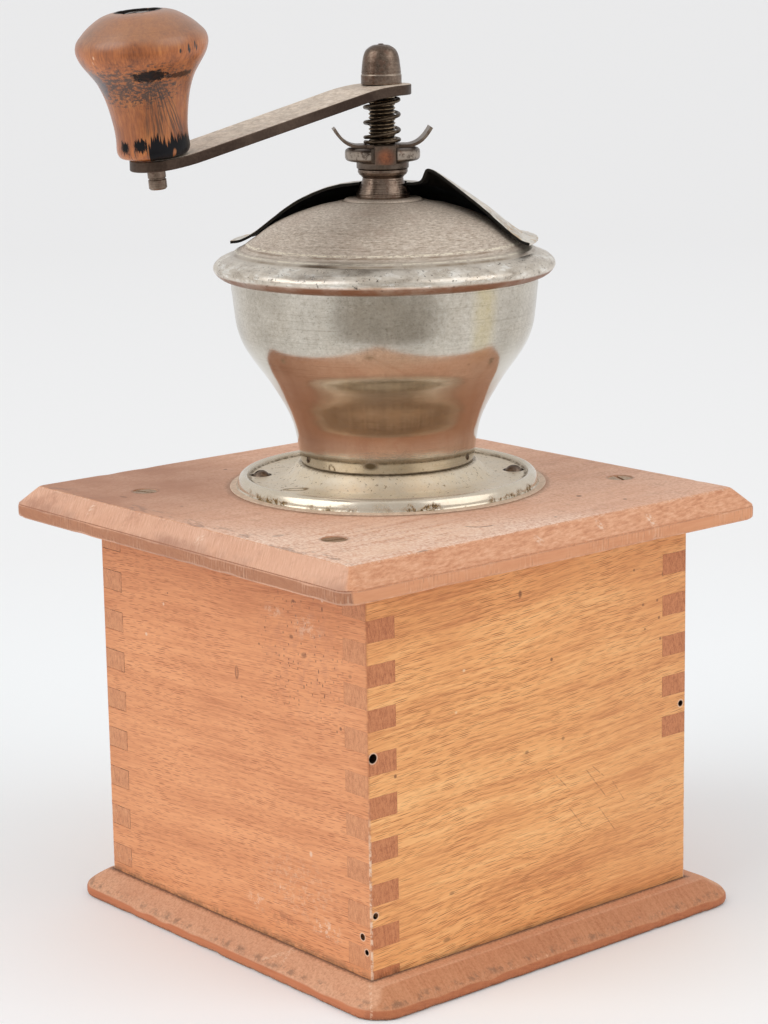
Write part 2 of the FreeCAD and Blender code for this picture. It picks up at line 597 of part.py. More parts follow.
t_start, t_segs = bent([c0, c1, c2, c3], (7.5, 5.0), ARM_T / 2.0)
b_start, b_segs = bent([c3, c2, c1, c0], (5.0, 7.5), ARM_T / 2.0)
edges = edges_of(t_start, t_segs + [("l", b_start)] + b_segs)
bar = Part.Face(Part.Wire(edges))
bar.translate(V(0, -12, 0))
bar = bar.extrude(V(0, 24, 0))
sa = (ARM_R1 - ARM_R2) / ARM_L
ca = math.sqrt(1 - sa * sa)
plan = Part.Wire([
    Part.makeLine(V(ARM_R1 * sa, ARM_R1 * ca, 0), V(ARM_L + ARM_R2 * sa, ARM_R2 * ca, 0)),
    Part.Arc(V(ARM_L + ARM_R2 * sa, ARM_R2 * ca, 0), V(ARM_L + ARM_R2, 0, 0),
             V(ARM_L + ARM_R2 * sa, -ARM_R2 * ca, 0)).toShape(),
    Part.makeLine(V(ARM_L + ARM_R2 * sa, -ARM_R2 * ca, 0), V(ARM_R1 * sa, -ARM_R1 * ca, 0)),
    Part.Arc(V(ARM_R1 * sa, -ARM_R1 * ca, 0), V(-ARM_R1, 0, 0), V(ARM_R1 * sa, ARM_R1 * ca, 0)).toShape(),
])
plan = Part.Face(plan).extrude(V(0, 0, 60))
plan.translate(V(0, 0, 210))
arm = one(bar.common(plan))
rim = [e for e in arm.Edges if e.Length > 3.2]
arm = arm.makeFillet(0.45, rim).Solids[0]
sq = box(-3.03, 3.03, -3.03, 3.03, 235, 255)
# knob pin axis: square to the sloping end of the arm
pad_z = c2[1] - te * (PIN_L - ARM_BEND2) + ARM_T / 2.0 / math.cos(math.radians(ARM_END))
ax = V(math.sin(math.radians(ARM_END)), 0, math.cos(math.radians(ARM_END)))
pad = V(PIN_L, 0, pad_z)
hole = Part.makeCylinder(PIN_R + 0.02, 30, pad - ax * 15, ax)
arm = cut(arm, sq, hole)


def place_arm(s):
    s.rotate(V(0, 0, 0), V(0, 0, 1), ARM_A)
    s.translate(V(HX, HY, 0))
    return s


def on_pin(s):
    """Move a shape turned about Z with its zero at the pad onto the pin axis."""
    s.rotate(V(0, 0, 0), V(0, 1, 0), ARM_END)
    s.translate(pad)
    return place_arm(s)


node("crank_arm", place_arm(arm))

cap = turned((2.95, ARM_TOP), [
    ("l", (5.85, ARM_TOP)), ("l", (5.92, ARM_TOP + 0.1)), ("l", (5.92, ARM_TOP + 2.9)),
    ("l", (5.78, ARM_TOP + 3.1)),
    ("s", [(5.6, ARM_TOP + 5.0), (5.2, ARM_TOP + 7.8), (4.35, ARM_TOP + 9.8), (2.55, ARM_TOP + 11.05),
           (0.9, ARM_TOP + 11.35)]),
    ("l", (0.7, ARM_TOP + 11.6)), ("l", (0, ARM_TOP + 11.65)), ("l", (0, ARM_TOP + 9.2)),
    ("l", (2.35, ARM_TOP + 9.2)), ("l", (2.95, ARM_TOP + 8.2)),
])
node("cap_nut", cap)

knob = turned((KNOB_BORE, 0.0), [
    ("l", (8.0, 0.0)),
    ("s", [(9.2, 0.45), (9.8, 1.4), (10.0, 2.6), (9.85, 5.2), (10.0, 8.3), (10.5, 11.8), (11.15, 15.0),
           (11.95, 17.8), (13.15, 20.8), (14.75, 23.3), (16.45, 25.7), (17.4, 27.5), (17.9, 29.2),
           (17.9, 30.6), (17.3, 32.1), (16.1, 33.3), (13.6, 35.6), (9.9, 37.95), (6.4, 39.15)]),
    ("l", (5.85, 39.1)), ("l", (5.6, 36.6)), ("l", (KNOB_BORE, 36.6)),
], x=0, y=0)
knob.translate(V(0, 0, KNOB_GAP))
node("crank_knob", on_pin(knob))

PB = -ARM_T - 5.6
kpin = turned((0, PB), [
    ("l", (2.1, PB)), ("l", (2.5, PB + 0.4)), ("l", (2.5, PB + 2.6)), ("l", (2.28, PB + 2.8)),
    ("l", (2.28, PB + 3.05)), ("l", (PIN_R, PB + 3.25)),
    ("l", (PIN_R, KNOB_GAP + 36.7)), ("l", (5.0, KNOB_GAP + 36.7)), ("l", (5.0, KNOB_GAP + 37.5)),
    ("s", [(4.2, KNOB_GAP + 38.2), (2.4, KNOB_GAP + 38.65), (0, KNOB_GAP + 38.8)]),
], x=0, y=0)
kpin = cut(kpin, box(-6, 6, -0.55, 0.55, KNOB_GAP + 37.8, KNOB_GAP + 40))
node("knob_pin", on_pin(kpin))

# ------------------------------------------------------------------- drawer
DX = IX - DR_GAP
DZ0 = BASE_T + 0.35
DZ1 = FRONT_Z0 - 0.45
DKZ = (DZ0 + DZ1) / 2.0
DYF = -BOX_HY
DYB = DR_BACK_Y
dfront = box(-DX, DX, DYF, DYF + DR_FRONT_T, DZ0, DZ1)
groove = 4.0
# the sides run into rebates behind the front board
for sx in (-1, 1):
    lo, hi = sorted((sx * DX, sx * (DX - DR_SIDE_T)))
    dfront = cut(dfront, box(lo - (0.1 if sx < 0 else 0), hi + (0.1 if sx > 0 else 0),
                             DYF + DR_FRONT_T - groove, DYF + DR_FRONT_T + 1, DZ0 - 1, DZ0 + DR_SIDE_H))
knob_hole = Part.makeCylinder(2.0, 40, V(0, DYF - 10, DKZ), V(0, 1, 0))
node("drawer_front", cut(dfront, knob_hole))
for name, sx in (("drawer_left_side", -1), ("drawer_right_side", 1)):
    lo, hi = sorted((sx * DX, sx * (DX - DR_SIDE_T)))
    node(name, box(lo, hi, DYF + DR_FRONT_T - groove, DYB, DZ0, DZ0 + DR_SIDE_H))
node("drawer_back", box(-DX + DR_SIDE_T, DX - DR_SIDE_T, DYB - DR_SIDE_T, DYB, DZ0, DZ0 + DR_SIDE_H))
node("drawer_bottom", box(-DX + DR_SIDE_T, DX - DR_SIDE_T, DYF + DR_FRONT_T, DYB - DR_SIDE_T,
                          DZ0, DZ0 + DR_BOTTOM_T))


def front_turned(start, segs):
    """Turned shape whose axis points out of the drawer front, zero at its face."""
    s = turned(start, segs, x=0, y=0)
    s.rotate(V(0, 0, 0), V(1, 0, 0), 90)
    s.translate(V(0, DYF, DKZ))
    return s


node("drawer_knob", front_turned((0, 17.0), [
    ("l", (0, 8.0)), ("l", (1.6, 7.4)), ("l", (1.6, 0.0)), ("l", (7.2, 0.0)),
    ("s", [(7.5, 0.8), (7.1, 1.7), (5.2, 3.0), (4.6, 5.2), (5.6, 8.0), (8.0, 10.4), (8.9, 12.6),
           (8.3, 14.8), (5.6, 16.4), (0, 17.0)]),
]))
node("drawer_knob_screw", front_turned((0, 7.3), [
    ("l", (0.4, 7.3)), ("l", (1.55, 5.2)), ("l", (1.55, -DR_FRONT_T - 0.0)), ("l", (3.4, -DR_FRONT_T)),
    ("l", (3.4, -DR_FRONT_T - 0.4)),
    ("s", [(2.9, -DR_FRONT_T - 1.15), (1.6, -DR_FRONT_T - 1.85), (0.5, -DR_FRONT_T - 2.08)]),
    ("l", (0, -DR_FRONT_T - 2.1)),
]))

# top board: throat, screw holes from above and below
throat = cyl(HX, HY, BOX_TOP - 5, ZT + 5, 24.0)
node("top_board", cut(top, *(top_holes + [throat] + flange_cut[1::2]
                             + [cyl(*polar(31.8, a), 115.0, BOX_TOP + 6.7, 1.73) for a in (90.0, 210.0, 330.0)])))

for name, shape in NODES.items():
    for s in shape.Solids:
        if not s.isValid() or s.Volume <= 0:
            print("CHECK", name, s.isValid(), s.Volume)
    shape.exportStep("parts/%s.step" % name)
    b = shape.BoundBox
    print("%-22s solids %d  vol %10.2f  x %.2f..%.2f y %.2f..%.2f z %.2f..%.2f" % (
        name, len(shape.Solids), shape.Volume, b.XMin, b.XMax, b.YMin, b.YMax, b.ZMin, b.ZMax))
g = lambda v: "(%.3f, %.3f, %.3f)" % (v.x, v.y, v.z)
R = FreeCAD.Rotation(V(0, 0, 1), ARM_A)
print("pin point", g(R.multVec(pad) + V(HX, HY, 0)), "pin axis", g(R.multVec(ax)))
print("nodes", len(NODES))
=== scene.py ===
import math
import random

import bmesh
import bpy
import numpy as np
from mathutils import Matrix, Vector
from mathutils import noise as mnoise


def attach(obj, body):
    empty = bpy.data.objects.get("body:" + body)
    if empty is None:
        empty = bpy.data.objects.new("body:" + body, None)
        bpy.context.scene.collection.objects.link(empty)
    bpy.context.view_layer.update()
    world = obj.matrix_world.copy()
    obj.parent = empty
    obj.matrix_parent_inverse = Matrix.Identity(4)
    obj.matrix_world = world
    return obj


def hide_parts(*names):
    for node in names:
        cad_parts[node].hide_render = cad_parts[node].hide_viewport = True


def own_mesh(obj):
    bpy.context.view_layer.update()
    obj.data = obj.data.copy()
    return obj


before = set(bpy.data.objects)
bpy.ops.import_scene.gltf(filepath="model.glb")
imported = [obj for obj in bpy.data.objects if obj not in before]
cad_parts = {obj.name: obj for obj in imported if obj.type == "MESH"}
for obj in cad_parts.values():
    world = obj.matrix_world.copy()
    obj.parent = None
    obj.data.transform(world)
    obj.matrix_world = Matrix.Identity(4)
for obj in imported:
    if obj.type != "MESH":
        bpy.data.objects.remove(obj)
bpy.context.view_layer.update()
scene = bpy.context.scene
scene.view_settings.view_transform = "Standard"
MM = 0.001

# ------------------------------------------------------------------ dimensions
# millimetres, the same values as in the construction
BOX_HX, BOX_HY = 62.5, 61.9
BASE_T, BOX_TOP, TOP_T = 7.6, 119.5, 9.35
ZT = BOX_TOP + TOP_T
HX, HY = 3.87, -2.42
FLANGE_R, BEAD_R, FLANGE_BORE = 47.3, 45.1, 23.5
SEAT = ZT + 2.15
BOWL_Z = ZT + 7.25
VIEW_A = 140.0
ARM_TOP, ARM_T = 247.1, 3.1
ARM_BOT = ARM_TOP - ARM_T
PIN = Vector((-0.351, 81.774, 231.520))
PIN_AXIS = Vector((-0.005147, 0.102664, 0.994703)).normalized()
KNOB_X = Vector((-0.56992, -0.81765, 0.08144)).normalized()      # sideways on the knob
KNOB_Y = Vector((-0.82168, 0.56648, -0.06272)).normalized()      # towards the worn side of the knob


# --------------------------------------------------------------------- meshes
def polar(r, a, x=HX, y=HY):
    return x + r * math.cos(math.radians(a)), y + r * math.sin(math.radians(a))


def spline(pts, n):
    """Smooth curve through the points, n steps per span."""
    P = [np.array(p, float) for p in pts]
    out = []
    for i in range(len(P) - 1):
        p0 = P[i - 1] if i > 0 else 2 * P[0] - P[1]
        p1, p2 = P[i], P[i + 1]
        p3 = P[i + 2] if i + 2 < len(P) else 2 * P[-1] - P[-2]
        for k in range(n):
            t = k / n
            out.append(0.5 * (2 * p1 + (p2 - p0) * t + (2 * p0 - 5 * p1 + 4 * p2 - p3) * t * t
                              + (3 * p1 - p0 - 3 * p2 + p3) * t ** 3))
    out.append(P[-1])
    return [tuple(p) for p in out]


def outline(start, segs, n=5):
    """Points of an (r, z) outline from lines ("l", p) and smooth runs ("s", [p...])."""
    out = [start]
    for s in segs:
        if s[0] == "l":
            out.append(s[1])
        else:
            out += spline([out[-1]] + list(s[1]), n)[1:]
    return out


def soften(pts, r, closed=True, min_turn=18.0):
    """Round the corners of an outline with a small radius."""
    n = len(pts)
    out = []
    for i in range(n):
        p = np.array(pts[i])
        if not closed and i in (0, n - 1):
            out.append(tuple(p))
            continue
        a, b = np.array(pts[i - 1]), np.array(pts[(i + 1) % n])
        la, lb = np.linalg.norm(a - p), np.linalg.norm(b - p)
        if la < 1e-6 or lb < 1e-6 or p[0] < 1e-6:
            out.append(tuple(p))
            continue
        u, v = (a - p) / la, (b - p) / lb
        turn = math.degrees(math.pi - math.acos(max(-1, min(1, float(u @ v)))))
        if turn < min_turn:
            out.append(tuple(p))
            continue
        d = min(r, 0.45 * la, 0.45 * lb)
        q0, q1 = p + u * d, p + v * d
        for t in (0.0, 0.33, 0.67, 1.0):
            out.append(tuple((1 - t) ** 2 * q0 + 2 * t * (1 - t) * p + t * t * q1))
    return out


def lathe(prof, n=160, x=HX, y=HY, a0=0.0, closed=True, wob=None):
    """Vertices and faces of a turned shape."""
    m = len(prof)
    verts, faces = [], []
    for i in range(n):
        a = math.radians(a0) + 2 * math.pi * i / n
        for r, z in prof:
            if wob:
                r, z = wob(r, z, a)
            verts.append((x + r * math.cos(a), y + r * math.sin(a), z))
    for i in range(n):
        j = (i + 1) % n
        for k in range(m if closed else m - 1):
            q = (k + 1) % m
            faces.append((i * m + k, j * m + k, j * m + q, i * m + q))
    return verts, faces


def tidy(me, merge=1e-7):
    bm = bmesh.new()
    bm.from_mesh(me)
    bmesh.ops.remove_doubles(bm, verts=bm.verts, dist=merge)
    bmesh.ops.dissolve_degenerate(bm, edges=bm.edges, dist=merge)
    loose = [v for v in bm.verts if not v.link_faces]
    if loose:
        bmesh.ops.delete(bm, geom=loose, context="VERTS")
    bmesh.ops.recalc_face_normals(bm, faces=bm.faces)
    bm.to_mesh(me)
    bm.free()


def shade(me, deg):
    if deg is None:
        me.shade_flat()
    else:
        me.shade_smooth()
        me.set_sharp_from_angle(angle=math.radians(deg))


def piece(name, verts, faces, body, slot, mats, replaces=(), deg=35, matrix=None):
    me = bpy.data.meshes.new(name)
    me.from_pydata([(v[0] * MM, v[1] * MM, v[2] * MM) for v in verts], [], faces)
    me.update()
    tidy(me)
    return piece_from(name, me, body, slot, mats, replaces, deg, matrix)


def piece_from(name, me, body, slot, mats, replaces=(), deg=35, matrix=None):
    me.name = name
    for m in (mats if isinstance(mats, (list, tuple)) else [mats]):
        me.materials.append(m)
    shade(me, deg)
    o = bpy.data.objects.new(name, me)
    scene.collection.objects.link(o)
    if matrix is not None:
        o.matrix_world = matrix
    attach(o, body)
    if replaces:
        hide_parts(*([replaces] if isinstance(replaces, str) else replaces))
    return o


def cut_mesh(me, cutter_verts, cutter_faces):
    """Mesh less a closed cutter, both in metres and millimetres respectively."""
    a = bpy.data.objects.new("cut_a", me)
    cm = bpy.data.meshes.new("cut_b")
    cm.from_pydata([(v[0] * MM, v[1] * MM, v[2] * MM) for v in cutter_verts], [], cutter_faces)
    cm.update()
    tidy(cm)
    b = bpy.data.objects.new("cut_b", cm)
    scene.collection.objects.link(a)
    scene.collection.objects.link(b)
    mod = a.modifiers.new("cut", "BOOLEAN")
    mod.operation = "DIFFERENCE"
    mod.solver = "EXACT"
    mod.object = b
    dg = bpy.context.evaluated_depsgraph_get()
    new = bpy.data.meshes.new_from_object(a.evaluated_get(dg))
    bpy.data.objects.remove(a)
    bpy.data.objects.remove(b)
    return new


def raw_mesh(name, verts, faces):
    me = bpy.data.meshes.new(name)
    me.from_pydata([(v[0] * MM, v[1] * MM, v[2] * MM) for v in verts], [], faces)
    me.update()
    tidy(me)
    return me


def disc_cutter(x, y, z0, z1, r0, r1=None, n=40):
    """Closed cone or cylinder for cutting holes."""
    r1 = r0 if r1 is None else r1
    v = [(x + r0 * math.cos(2 * math.pi * i / n), y + r0 * math.sin(2 * math.pi * i / n), z0) for i in range(n)]
    v += [(x + r1 * math.cos(2 * math.pi * i / n), y + r1 * math.sin(2 * math.pi * i / n), z1) for i in range(n)]
    f = [tuple(reversed(range(n))), tuple(range(n, 2 * n))]
    f += [(i, (i + 1) % n, n + (i + 1) % n, n + i) for i in range(n)]
    return v, f


# ------------------------------------------------------------------ materials
def lin(r, g, b):
    """Display colour 0..255 to scene colour."""
    f = lambda c: c / 12.92 if c <= 0.04045 else ((c + 0.055) / 1.055) ** 2.4
    return (f(r / 255.0), f(g / 255.0), f(b / 255.0), 1.0)


class Mat:
    """Small helper that writes node materials."""

    def __init__(self, name):
        self.mat = bpy.data.materials.new(name)
        self.mat.use_nodes = True
        t = self.mat.node_tree
        self.n, self.l = t.nodes, t.links
        self.n.clear()
        self.out = self.n.new("ShaderNodeOutputMaterial")
        self.b = self.n.new("ShaderNodeBsdfPrincipled")
        self.l.new(self.b.outputs[0], self.out.inputs[0])
        self.tc = self.n.new("ShaderNodeTexCoord")
        self._mm = None

    def put(self, value, sock):
        if hasattr(value, "is_linked") or isinstance(value, bpy.types.NodeSocket):
            self.l.new(value, sock)
        else:
            if isinstance(value, (tuple, list)) and sock.type == "VECTOR":
                value = value[:3]
            if isinstance(value, (int, float)) and sock.type == "RGBA":
                value = (value, value, value, 1.0)
            sock.default_value = value

    def set(self, sock, value):
        self.put(value, self.b.inputs[sock])

    def mm(self):
        """Position on the piece in millimetres."""
        if self._mm is None:
            self._mm = self.vm("SCALE", self.tc.outputs["Object"], s=1000.0)
        return self._mm

    def normal(self):
        return self.tc.outputs["Normal"]

    def attr(self, name):
        a = self.n.new("ShaderNodeAttribute")
        a.attribute_name = name
        return a.outputs["Vector"]

    def vm(self, op, a, b=None, s=None):
        v = self.n.new("ShaderNodeVectorMath")
        v.operation = op
        self.put(a, v.inputs[0])
        if b is not None:
            self.put(b, v.inputs[1])
        if s is not None:
            self.put(s, v.inputs["Scale"])
        return v.outputs["Value"] if op in ("DOT_PRODUCT", "LENGTH", "DISTANCE") else v.outputs[0]

    def sep(self, v):
        s = self.n.new("ShaderNodeSeparateXYZ")
        self.put(v, s.inputs[0])
        return s.outputs[0], s.outputs[1], s.outputs[2]

    def comb(self, x, y, z):
        c = self.n.new("ShaderNodeCombineXYZ")
        for v, s in zip((x, y, z), c.inputs):
            self.put(v, s)
        return c.outputs[0]

    def m(self, op, a, b=None, c=None, clamp=False):
        v = self.n.new("ShaderNodeMath")
        v.operation = op
        v.use_clamp = clamp
        self.put(a, v.inputs[0])
        if b is not None:
            self.put(b, v.inputs[1])
        if c is not None:
            self.put(c, v.inputs[2])
        return v.outputs[0]

    def add(self, a, b):
        return self.m("ADD", a, b)

    def mul(self, a, b):
        return self.m("MULTIPLY", a, b)

    def inv(self, a):
        return self.m("SUBTRACT", 1.0, a)

    def noise(self, v, scale=1.0, detail=2.0, rough=0.5, dist=0.0):
        t = self.n.new("ShaderNodeTexNoise")
        self.put(v, t.inputs["Vector"])
        t.inputs["Scale"].default_value = scale
        t.inputs["Detail"].default_value = detail
        t.inputs["Roughness"].default_value = rough
        t.inputs["Distortion"].default_value = dist
        return t.outputs["Fac"]

    def voro(self, v, scale=1.0, dims="3D", rand=1.0):
        t = self.n.new("ShaderNodeTexVoronoi")
        t.voronoi_dimensions = dims
        self.put(v, t.inputs["Vector"])
        t.inputs["Scale"].default_value = scale
        t.inputs["Randomness"].default_value = rand
        return t.outputs["Distance"], t.outputs["Color"]

    def white(self, v):
        """Random value and colour per cell."""
        t = self.n.new("ShaderNodeTexWhiteNoise")
        t.noise_dimensions = "3D"
        self.put(v, t.inputs["Vector"])
        return t.outputs["Value"], t.outputs["Color"]

    def dashes(self, u, v, length, pitch, many, k, half=0.27):
        """Short tapering dashes along u in staggered rows."""
        vi = self.mul(v, 1.0 / pitch)
        row = self.m("FLOOR", vi)
        fv = self.m("FRACT", vi)
        ui = self.add(self.mul(u, 1.0 / length), self.mul(self.white(self.comb(row, k, 0.5))[0], 7.3))
        cell = self.m("FLOOR", ui)
        fu = self.m("FRACT", ui)
        a, b, c = self.sep(self.white(self.comb(row, cell, k + 3.7))[1])
        hl = self.add(0.18, self.mul(b, 0.24))
        du = self.m("DIVIDE", self.m("SUBTRACT", fu, self.add(0.36, self.mul(c, 0.28))), hl)
        dv = self.mul(self.m("SUBTRACT", fv, 0.5), 1.0 / half)
        d = self.m("SQRT", self.add(self.mul(du, du), self.mul(dv, dv)))
        return self.mul(self.mul(self.step(d, 1.1, 0.65), self.step(a, 1.0 - many, 1.02 - many)), self.add(0.5, self.mul(b, 0.5)))

    def step(self, x, lo, hi):
        """Smooth 0..1 as x goes from lo to hi; lo may be above hi."""
        t = self.n.new("ShaderNodeMapRange")
        t.interpolation_type = "SMOOTHSTEP"
        if isinstance(lo, (int, float)) and isinstance(hi, (int, float)) and lo > hi:
            a, b, x0, x1 = hi, lo, 1.0, 0.0
        else:
            a, b, x0, x1 = lo, hi, 0.0, 1.0
        self.put(x, t.inputs["Value"])
        self.put(a, t.inputs["From Min"])
        self.put(b, t.inputs["From Max"])
        t.inputs["To Min"].default_value = x0
        t.inputs["To Max"].default_value = x1
        return t.outputs[0]

    def ramp(self, f, stops, smooth=False):
        t = self.n.new("ShaderNodeValToRGB")
        t.color_ramp.interpolation = "EASE" if smooth else "LINEAR"
        e = t.color_ramp.elements
        while len(e) < len(stops):
            e.new(0.5)
        for k, (p, c) in zip(e, stops):
            k.position = p
            k.color = c if len(c) == 4 else (*c, 1.0)
        self.put(f, t.inputs[0])
        return t.outputs[0]

    def mix(self, f, a, b, mode="MIX"):
        t = self.n.new("ShaderNodeMix")
        t.data_type = "RGBA"
        t.blend_type = mode
        t.clamp_factor = True
        self.put(f, t.inputs[0])
        self.put(a, t.inputs[6])
        self.put(b, t.inputs[7])
        return t.outputs[2]

    def lerp(self, f, a, b):
        t = self.n.new("ShaderNodeMix")
        t.data_type = "FLOAT"
        t.clamp_factor = True
        self.put(f, t.inputs[0])
        self.put(a, t.inputs[2])
        self.put(b, t.inputs[3])
        return t.outputs[0]

    def bump(self, h, dist_mm, strength=1.0, normal=None):
        t = self.n.new("ShaderNodeBump")
        t.inputs["Strength"].default_value = strength
        t.inputs["Distance"].default_value = dist_mm * MM
        self.put(h, t.inputs["Height"])
        if normal is not None:
            self.put(normal, t.inputs["Normal"])
        return t.outputs[0]

    def ellipse(self, u, v, cu, cv, ru, rv, soft=0.35):
        """1 inside an ellipse in the (u, v) plane, 0 outside."""
        du = self.mul(self.m("SUBTRACT", u, cu), 1.0 / ru)
        dv = self.mul(self.m("SUBTRACT", v, cv), 1.0 / rv)
        d = self.m("SQRT", self.add(self.mul(du, du), self.mul(dv, dv)))
        return self.step(d, 1.0 + soft, 1.0 - soft)

    def stroke(self, u, v, p, q, w):
        """1 on a thin line from p to q in the (u, v) plane."""
        ux, uy = q[0] - p[0], q[1] - p[1]
        L = math.hypot(ux, uy)
        ux, uy = ux / L, uy / L
        a = self.m("SUBTRACT", u, p[0])
        b = self.m("SUBTRACT", v, p[1])
        along = self.add(self.mul(a, ux), self.mul(b, uy))
        side = self.m("ABSOLUTE", self.add(self.mul(a, -uy), self.mul(b, ux)))
        on = self.mul(self.step(along, -0.6, 0.6), self.step(along, L + 0.6, L - 0.6))
        return self.mul(on, self.step(side, w, w * 0.25))

    def most(self, parts):
        """Largest of several masks."""
        out = parts[0]
        for p in parts[1:]:
            out = self.m("MAXIMUM", out, p)
        return out

    def marks(self, u, v, spots, soft=0.45):
        """Small listed marks: (u, v, half width, half height, strength)."""
        return self.most([self.mul(self.ellipse(u, v, a, b, ru, rv, soft), k) for a, b, ru, rv, k in spots])

    def radius(self, c):
        """Distance from the spindle."""
        dx, dy = self.m("SUBTRACT", c[0], HX), self.m("SUBTRACT", c[1], HY)
        return self.m("SQRT", self.add(self.mul(dx, dx), self.mul(dy, dy)))

    def heading(self, c):
        """Degrees round the spindle from the near corner of the box, -180..180."""
        dx, dy = self.m("SUBTRACT", c[0], HX), self.m("SUBTRACT", c[1], HY)
        ca, sa = math.cos(math.radians(VIEW_A)), math.sin(math.radians(VIEW_A))
        f = self.add(self.mul(dx, ca), self.mul(dy, sa))
        s = self.add(self.mul(dx, -sa), self.mul(dy, ca))
        return self.mul(self.m("ARCTAN2", s, f), 57.29578)


def wood(name, grain, cross, light, mid, dark, fleck, end, tilt=0.0, seed=0.0, fleck_amt=0.95, rough=0.5, coat=0.08,
         extra=None, fleck_len=3.2, fleck_wid=0.5, bands=0.6, many=0.5):
    """Beech board. grain is the axis that the fibres run along, cross the other axis of its wide face."""
    w = Mat(name)
    P = w.mm()
    c = w.sep(P)
    thick = 3 - grain - cross
    u, v, d = w.add(c[grain], seed * 37.0), c[cross], c[thick]
    N = w.sep(w.normal())
    # fibres wander a little and may run at a slant
    wander = w.noise(w.comb(w.mul(u, 0.016), w.mul(v, 0.03), w.add(w.mul(d, 0.02), seed)), detail=2.0)
    v2 = w.add(v, w.add(w.mul(w.m("SUBTRACT", wander, 0.5), 4.0), w.mul(u, tilt)))
    g = w.comb(u, v2, d)
    band = w.noise(w.vm("MULTIPLY", g, (0.011, 0.15, 0.15)), detail=3.0, rough=0.55)
    fine = w.noise(w.vm("MULTIPLY", g, (0.045, 1.1, 1.1)), detail=3.0, rough=0.6)
    hair = w.noise(w.vm("MULTIPLY", g, (0.08, 2.1, 2.1)), detail=3.0, rough=0.65)
    blotch = w.noise(w.vm("SCALE", P, s=0.022), detail=3.0, rough=0.55)
    tone = w.add(w.add(w.mul(band, bands), w.mul(fine, 0.34)), w.add(w.mul(hair, 0.40), w.mul(blotch, 0.25)))
    m = 0.5 * (bands + 0.99)
    col = w.ramp(tone, [(m - 0.15, dark), (m, mid), (m + 0.15, light)])
    # pores: short thin dark dashes along the fibres, in two sizes
    masks = [w.dashes(u, v2, fleck_len * 1.9, fleck_wid * 1.35, many, 1.0 + seed, 0.19),
             w.dashes(u, v2, fleck_len * 1.25, fleck_wid, many, 5.0 + seed, 0.21)]
    wide = w.step(w.m("ABSOLUTE", N[thick]), 0.45, 0.65)
    patch = w.step(w.noise(w.vm("SCALE", P, s=0.045), detail=1.0), 0.30, 0.62)
    flecks = w.mul(w.mul(w.m("MAXIMUM", masks[0], w.mul(masks[1], 0.7)), w.lerp(patch, 0.55, 1.0)), wide)
    # end grain
    is_end = w.step(w.m("ABSOLUTE", N[grain]), 0.62, 0.82)
    e1 = w.noise(w.comb(w.mul(u, 0.2), w.mul(v, 0.55), w.mul(d, 0.9)), detail=3.0, rough=0.65)
    rays = w.noise(w.comb(seed, w.mul(w.add(v, w.mul(d, 0.25)), 0.25), w.mul(w.add(d, w.mul(v, -0.2)), 3.2)), detail=2.0)
    pores = w.noise(w.vm("SCALE", P, s=3.0), detail=2.0)
    et = w.add(w.add(w.mul(e1, 0.45), w.mul(rays, 0.35)), w.mul(pores, 0.3))
    ecol = w.ramp(et, [(0.40, end[2]), (0.55, end[1]), (0.70, end[0])])
    flecks = w.mul(flecks, w.inv(is_end))
    col = w.mix(is_end, col, ecol)
    height = w.add(w.mul(w.add(w.mul(hair, 0.3), w.mul(flecks, -1.0)), w.inv(is_end)), w.mul(w.mul(pores, is_end), 0.4))
    col = w.mix(w.mul(flecks, fleck_amt), col, fleck)
    r = w.add(w.lerp(blotch, rough - 0.07, rough + 0.08), w.mul(flecks, 0.12))
    if extra:
        col, r, height = extra(w, P, c, col, r, height)
    w.set("Base Color", col)
    w.set("Roughness", r)
    w.set("Normal", w.bump(height, 0.08, 0.5))
    w.set("Specular IOR Level", 0.35)
    w.set("Coat Weight", coat)
    w.set("Coat Roughness", 0.35)
    return w.mat


GRIME = lin(78, 62, 50)
SCUFF = lin(238, 208, 182)
END_SIDE = (lin(222, 158, 114), lin(208, 142, 99), lin(182, 116, 80))
END_REAR = (lin(214, 143, 97), lin(198, 126, 83), lin(168, 98, 62))


def corner_wear(w, P, c, col, low=1.0):
    """Bare pale arris low on the near corner of the box, greyer grime elsewhere on the corners."""
    x, y, z = c
    ex, ey = w.m("SUBTRACT", BOX_HX, w.m("ABSOLUTE", x)), w.m("SUBTRACT", BOX_HY, w.m("ABSOLUTE", y))
    edge = w.step(w.m("MAXIMUM", ex, ey), 0.75, 0.25)
    n = w.noise(w.vm("SCALE", P, s=0.5), detail=3.0, rough=0.7)
    col = w.mix(w.mul(w.mul(edge, w.step(n, 0.36, 0.56)), 0.35), col, lin(168, 104, 74))
    bare = w.mul(w.mul(edge, w.step(z, 62.0, 38.0)), w.step(n, 0.60, 0.44))
    return w.mix(w.mul(bare, 0.85), col, SCUFF)


def rim(w, u, v, holes):
    """Pale broken edge round small holes: (u, v, radius)."""
    out = []
    for a, b, r in holes:
        dx, dy = w.m("SUBTRACT", u, a), w.m("SUBTRACT", v, b)
        q = w.m("SQRT", w.add(w.mul(dx, dx), w.mul(dy, dy)))
        out.append(w.step(q, r + 0.55, r + 0.15))
    return w.most(out)


def pits(w, u, v, holes):
    """Painted shade: dark inside of the same holes."""
    out = []
    for a, b, r in holes:
        dx, dy = w.m("SUBTRACT", u, a), w.m("SUBTRACT", v, b)
        out.append(w.step(w.m("SQRT", w.add(w.mul(dx, dx), w.mul(dy, dy))), r + 0.14, r - 0.02))
    return w.most(out)


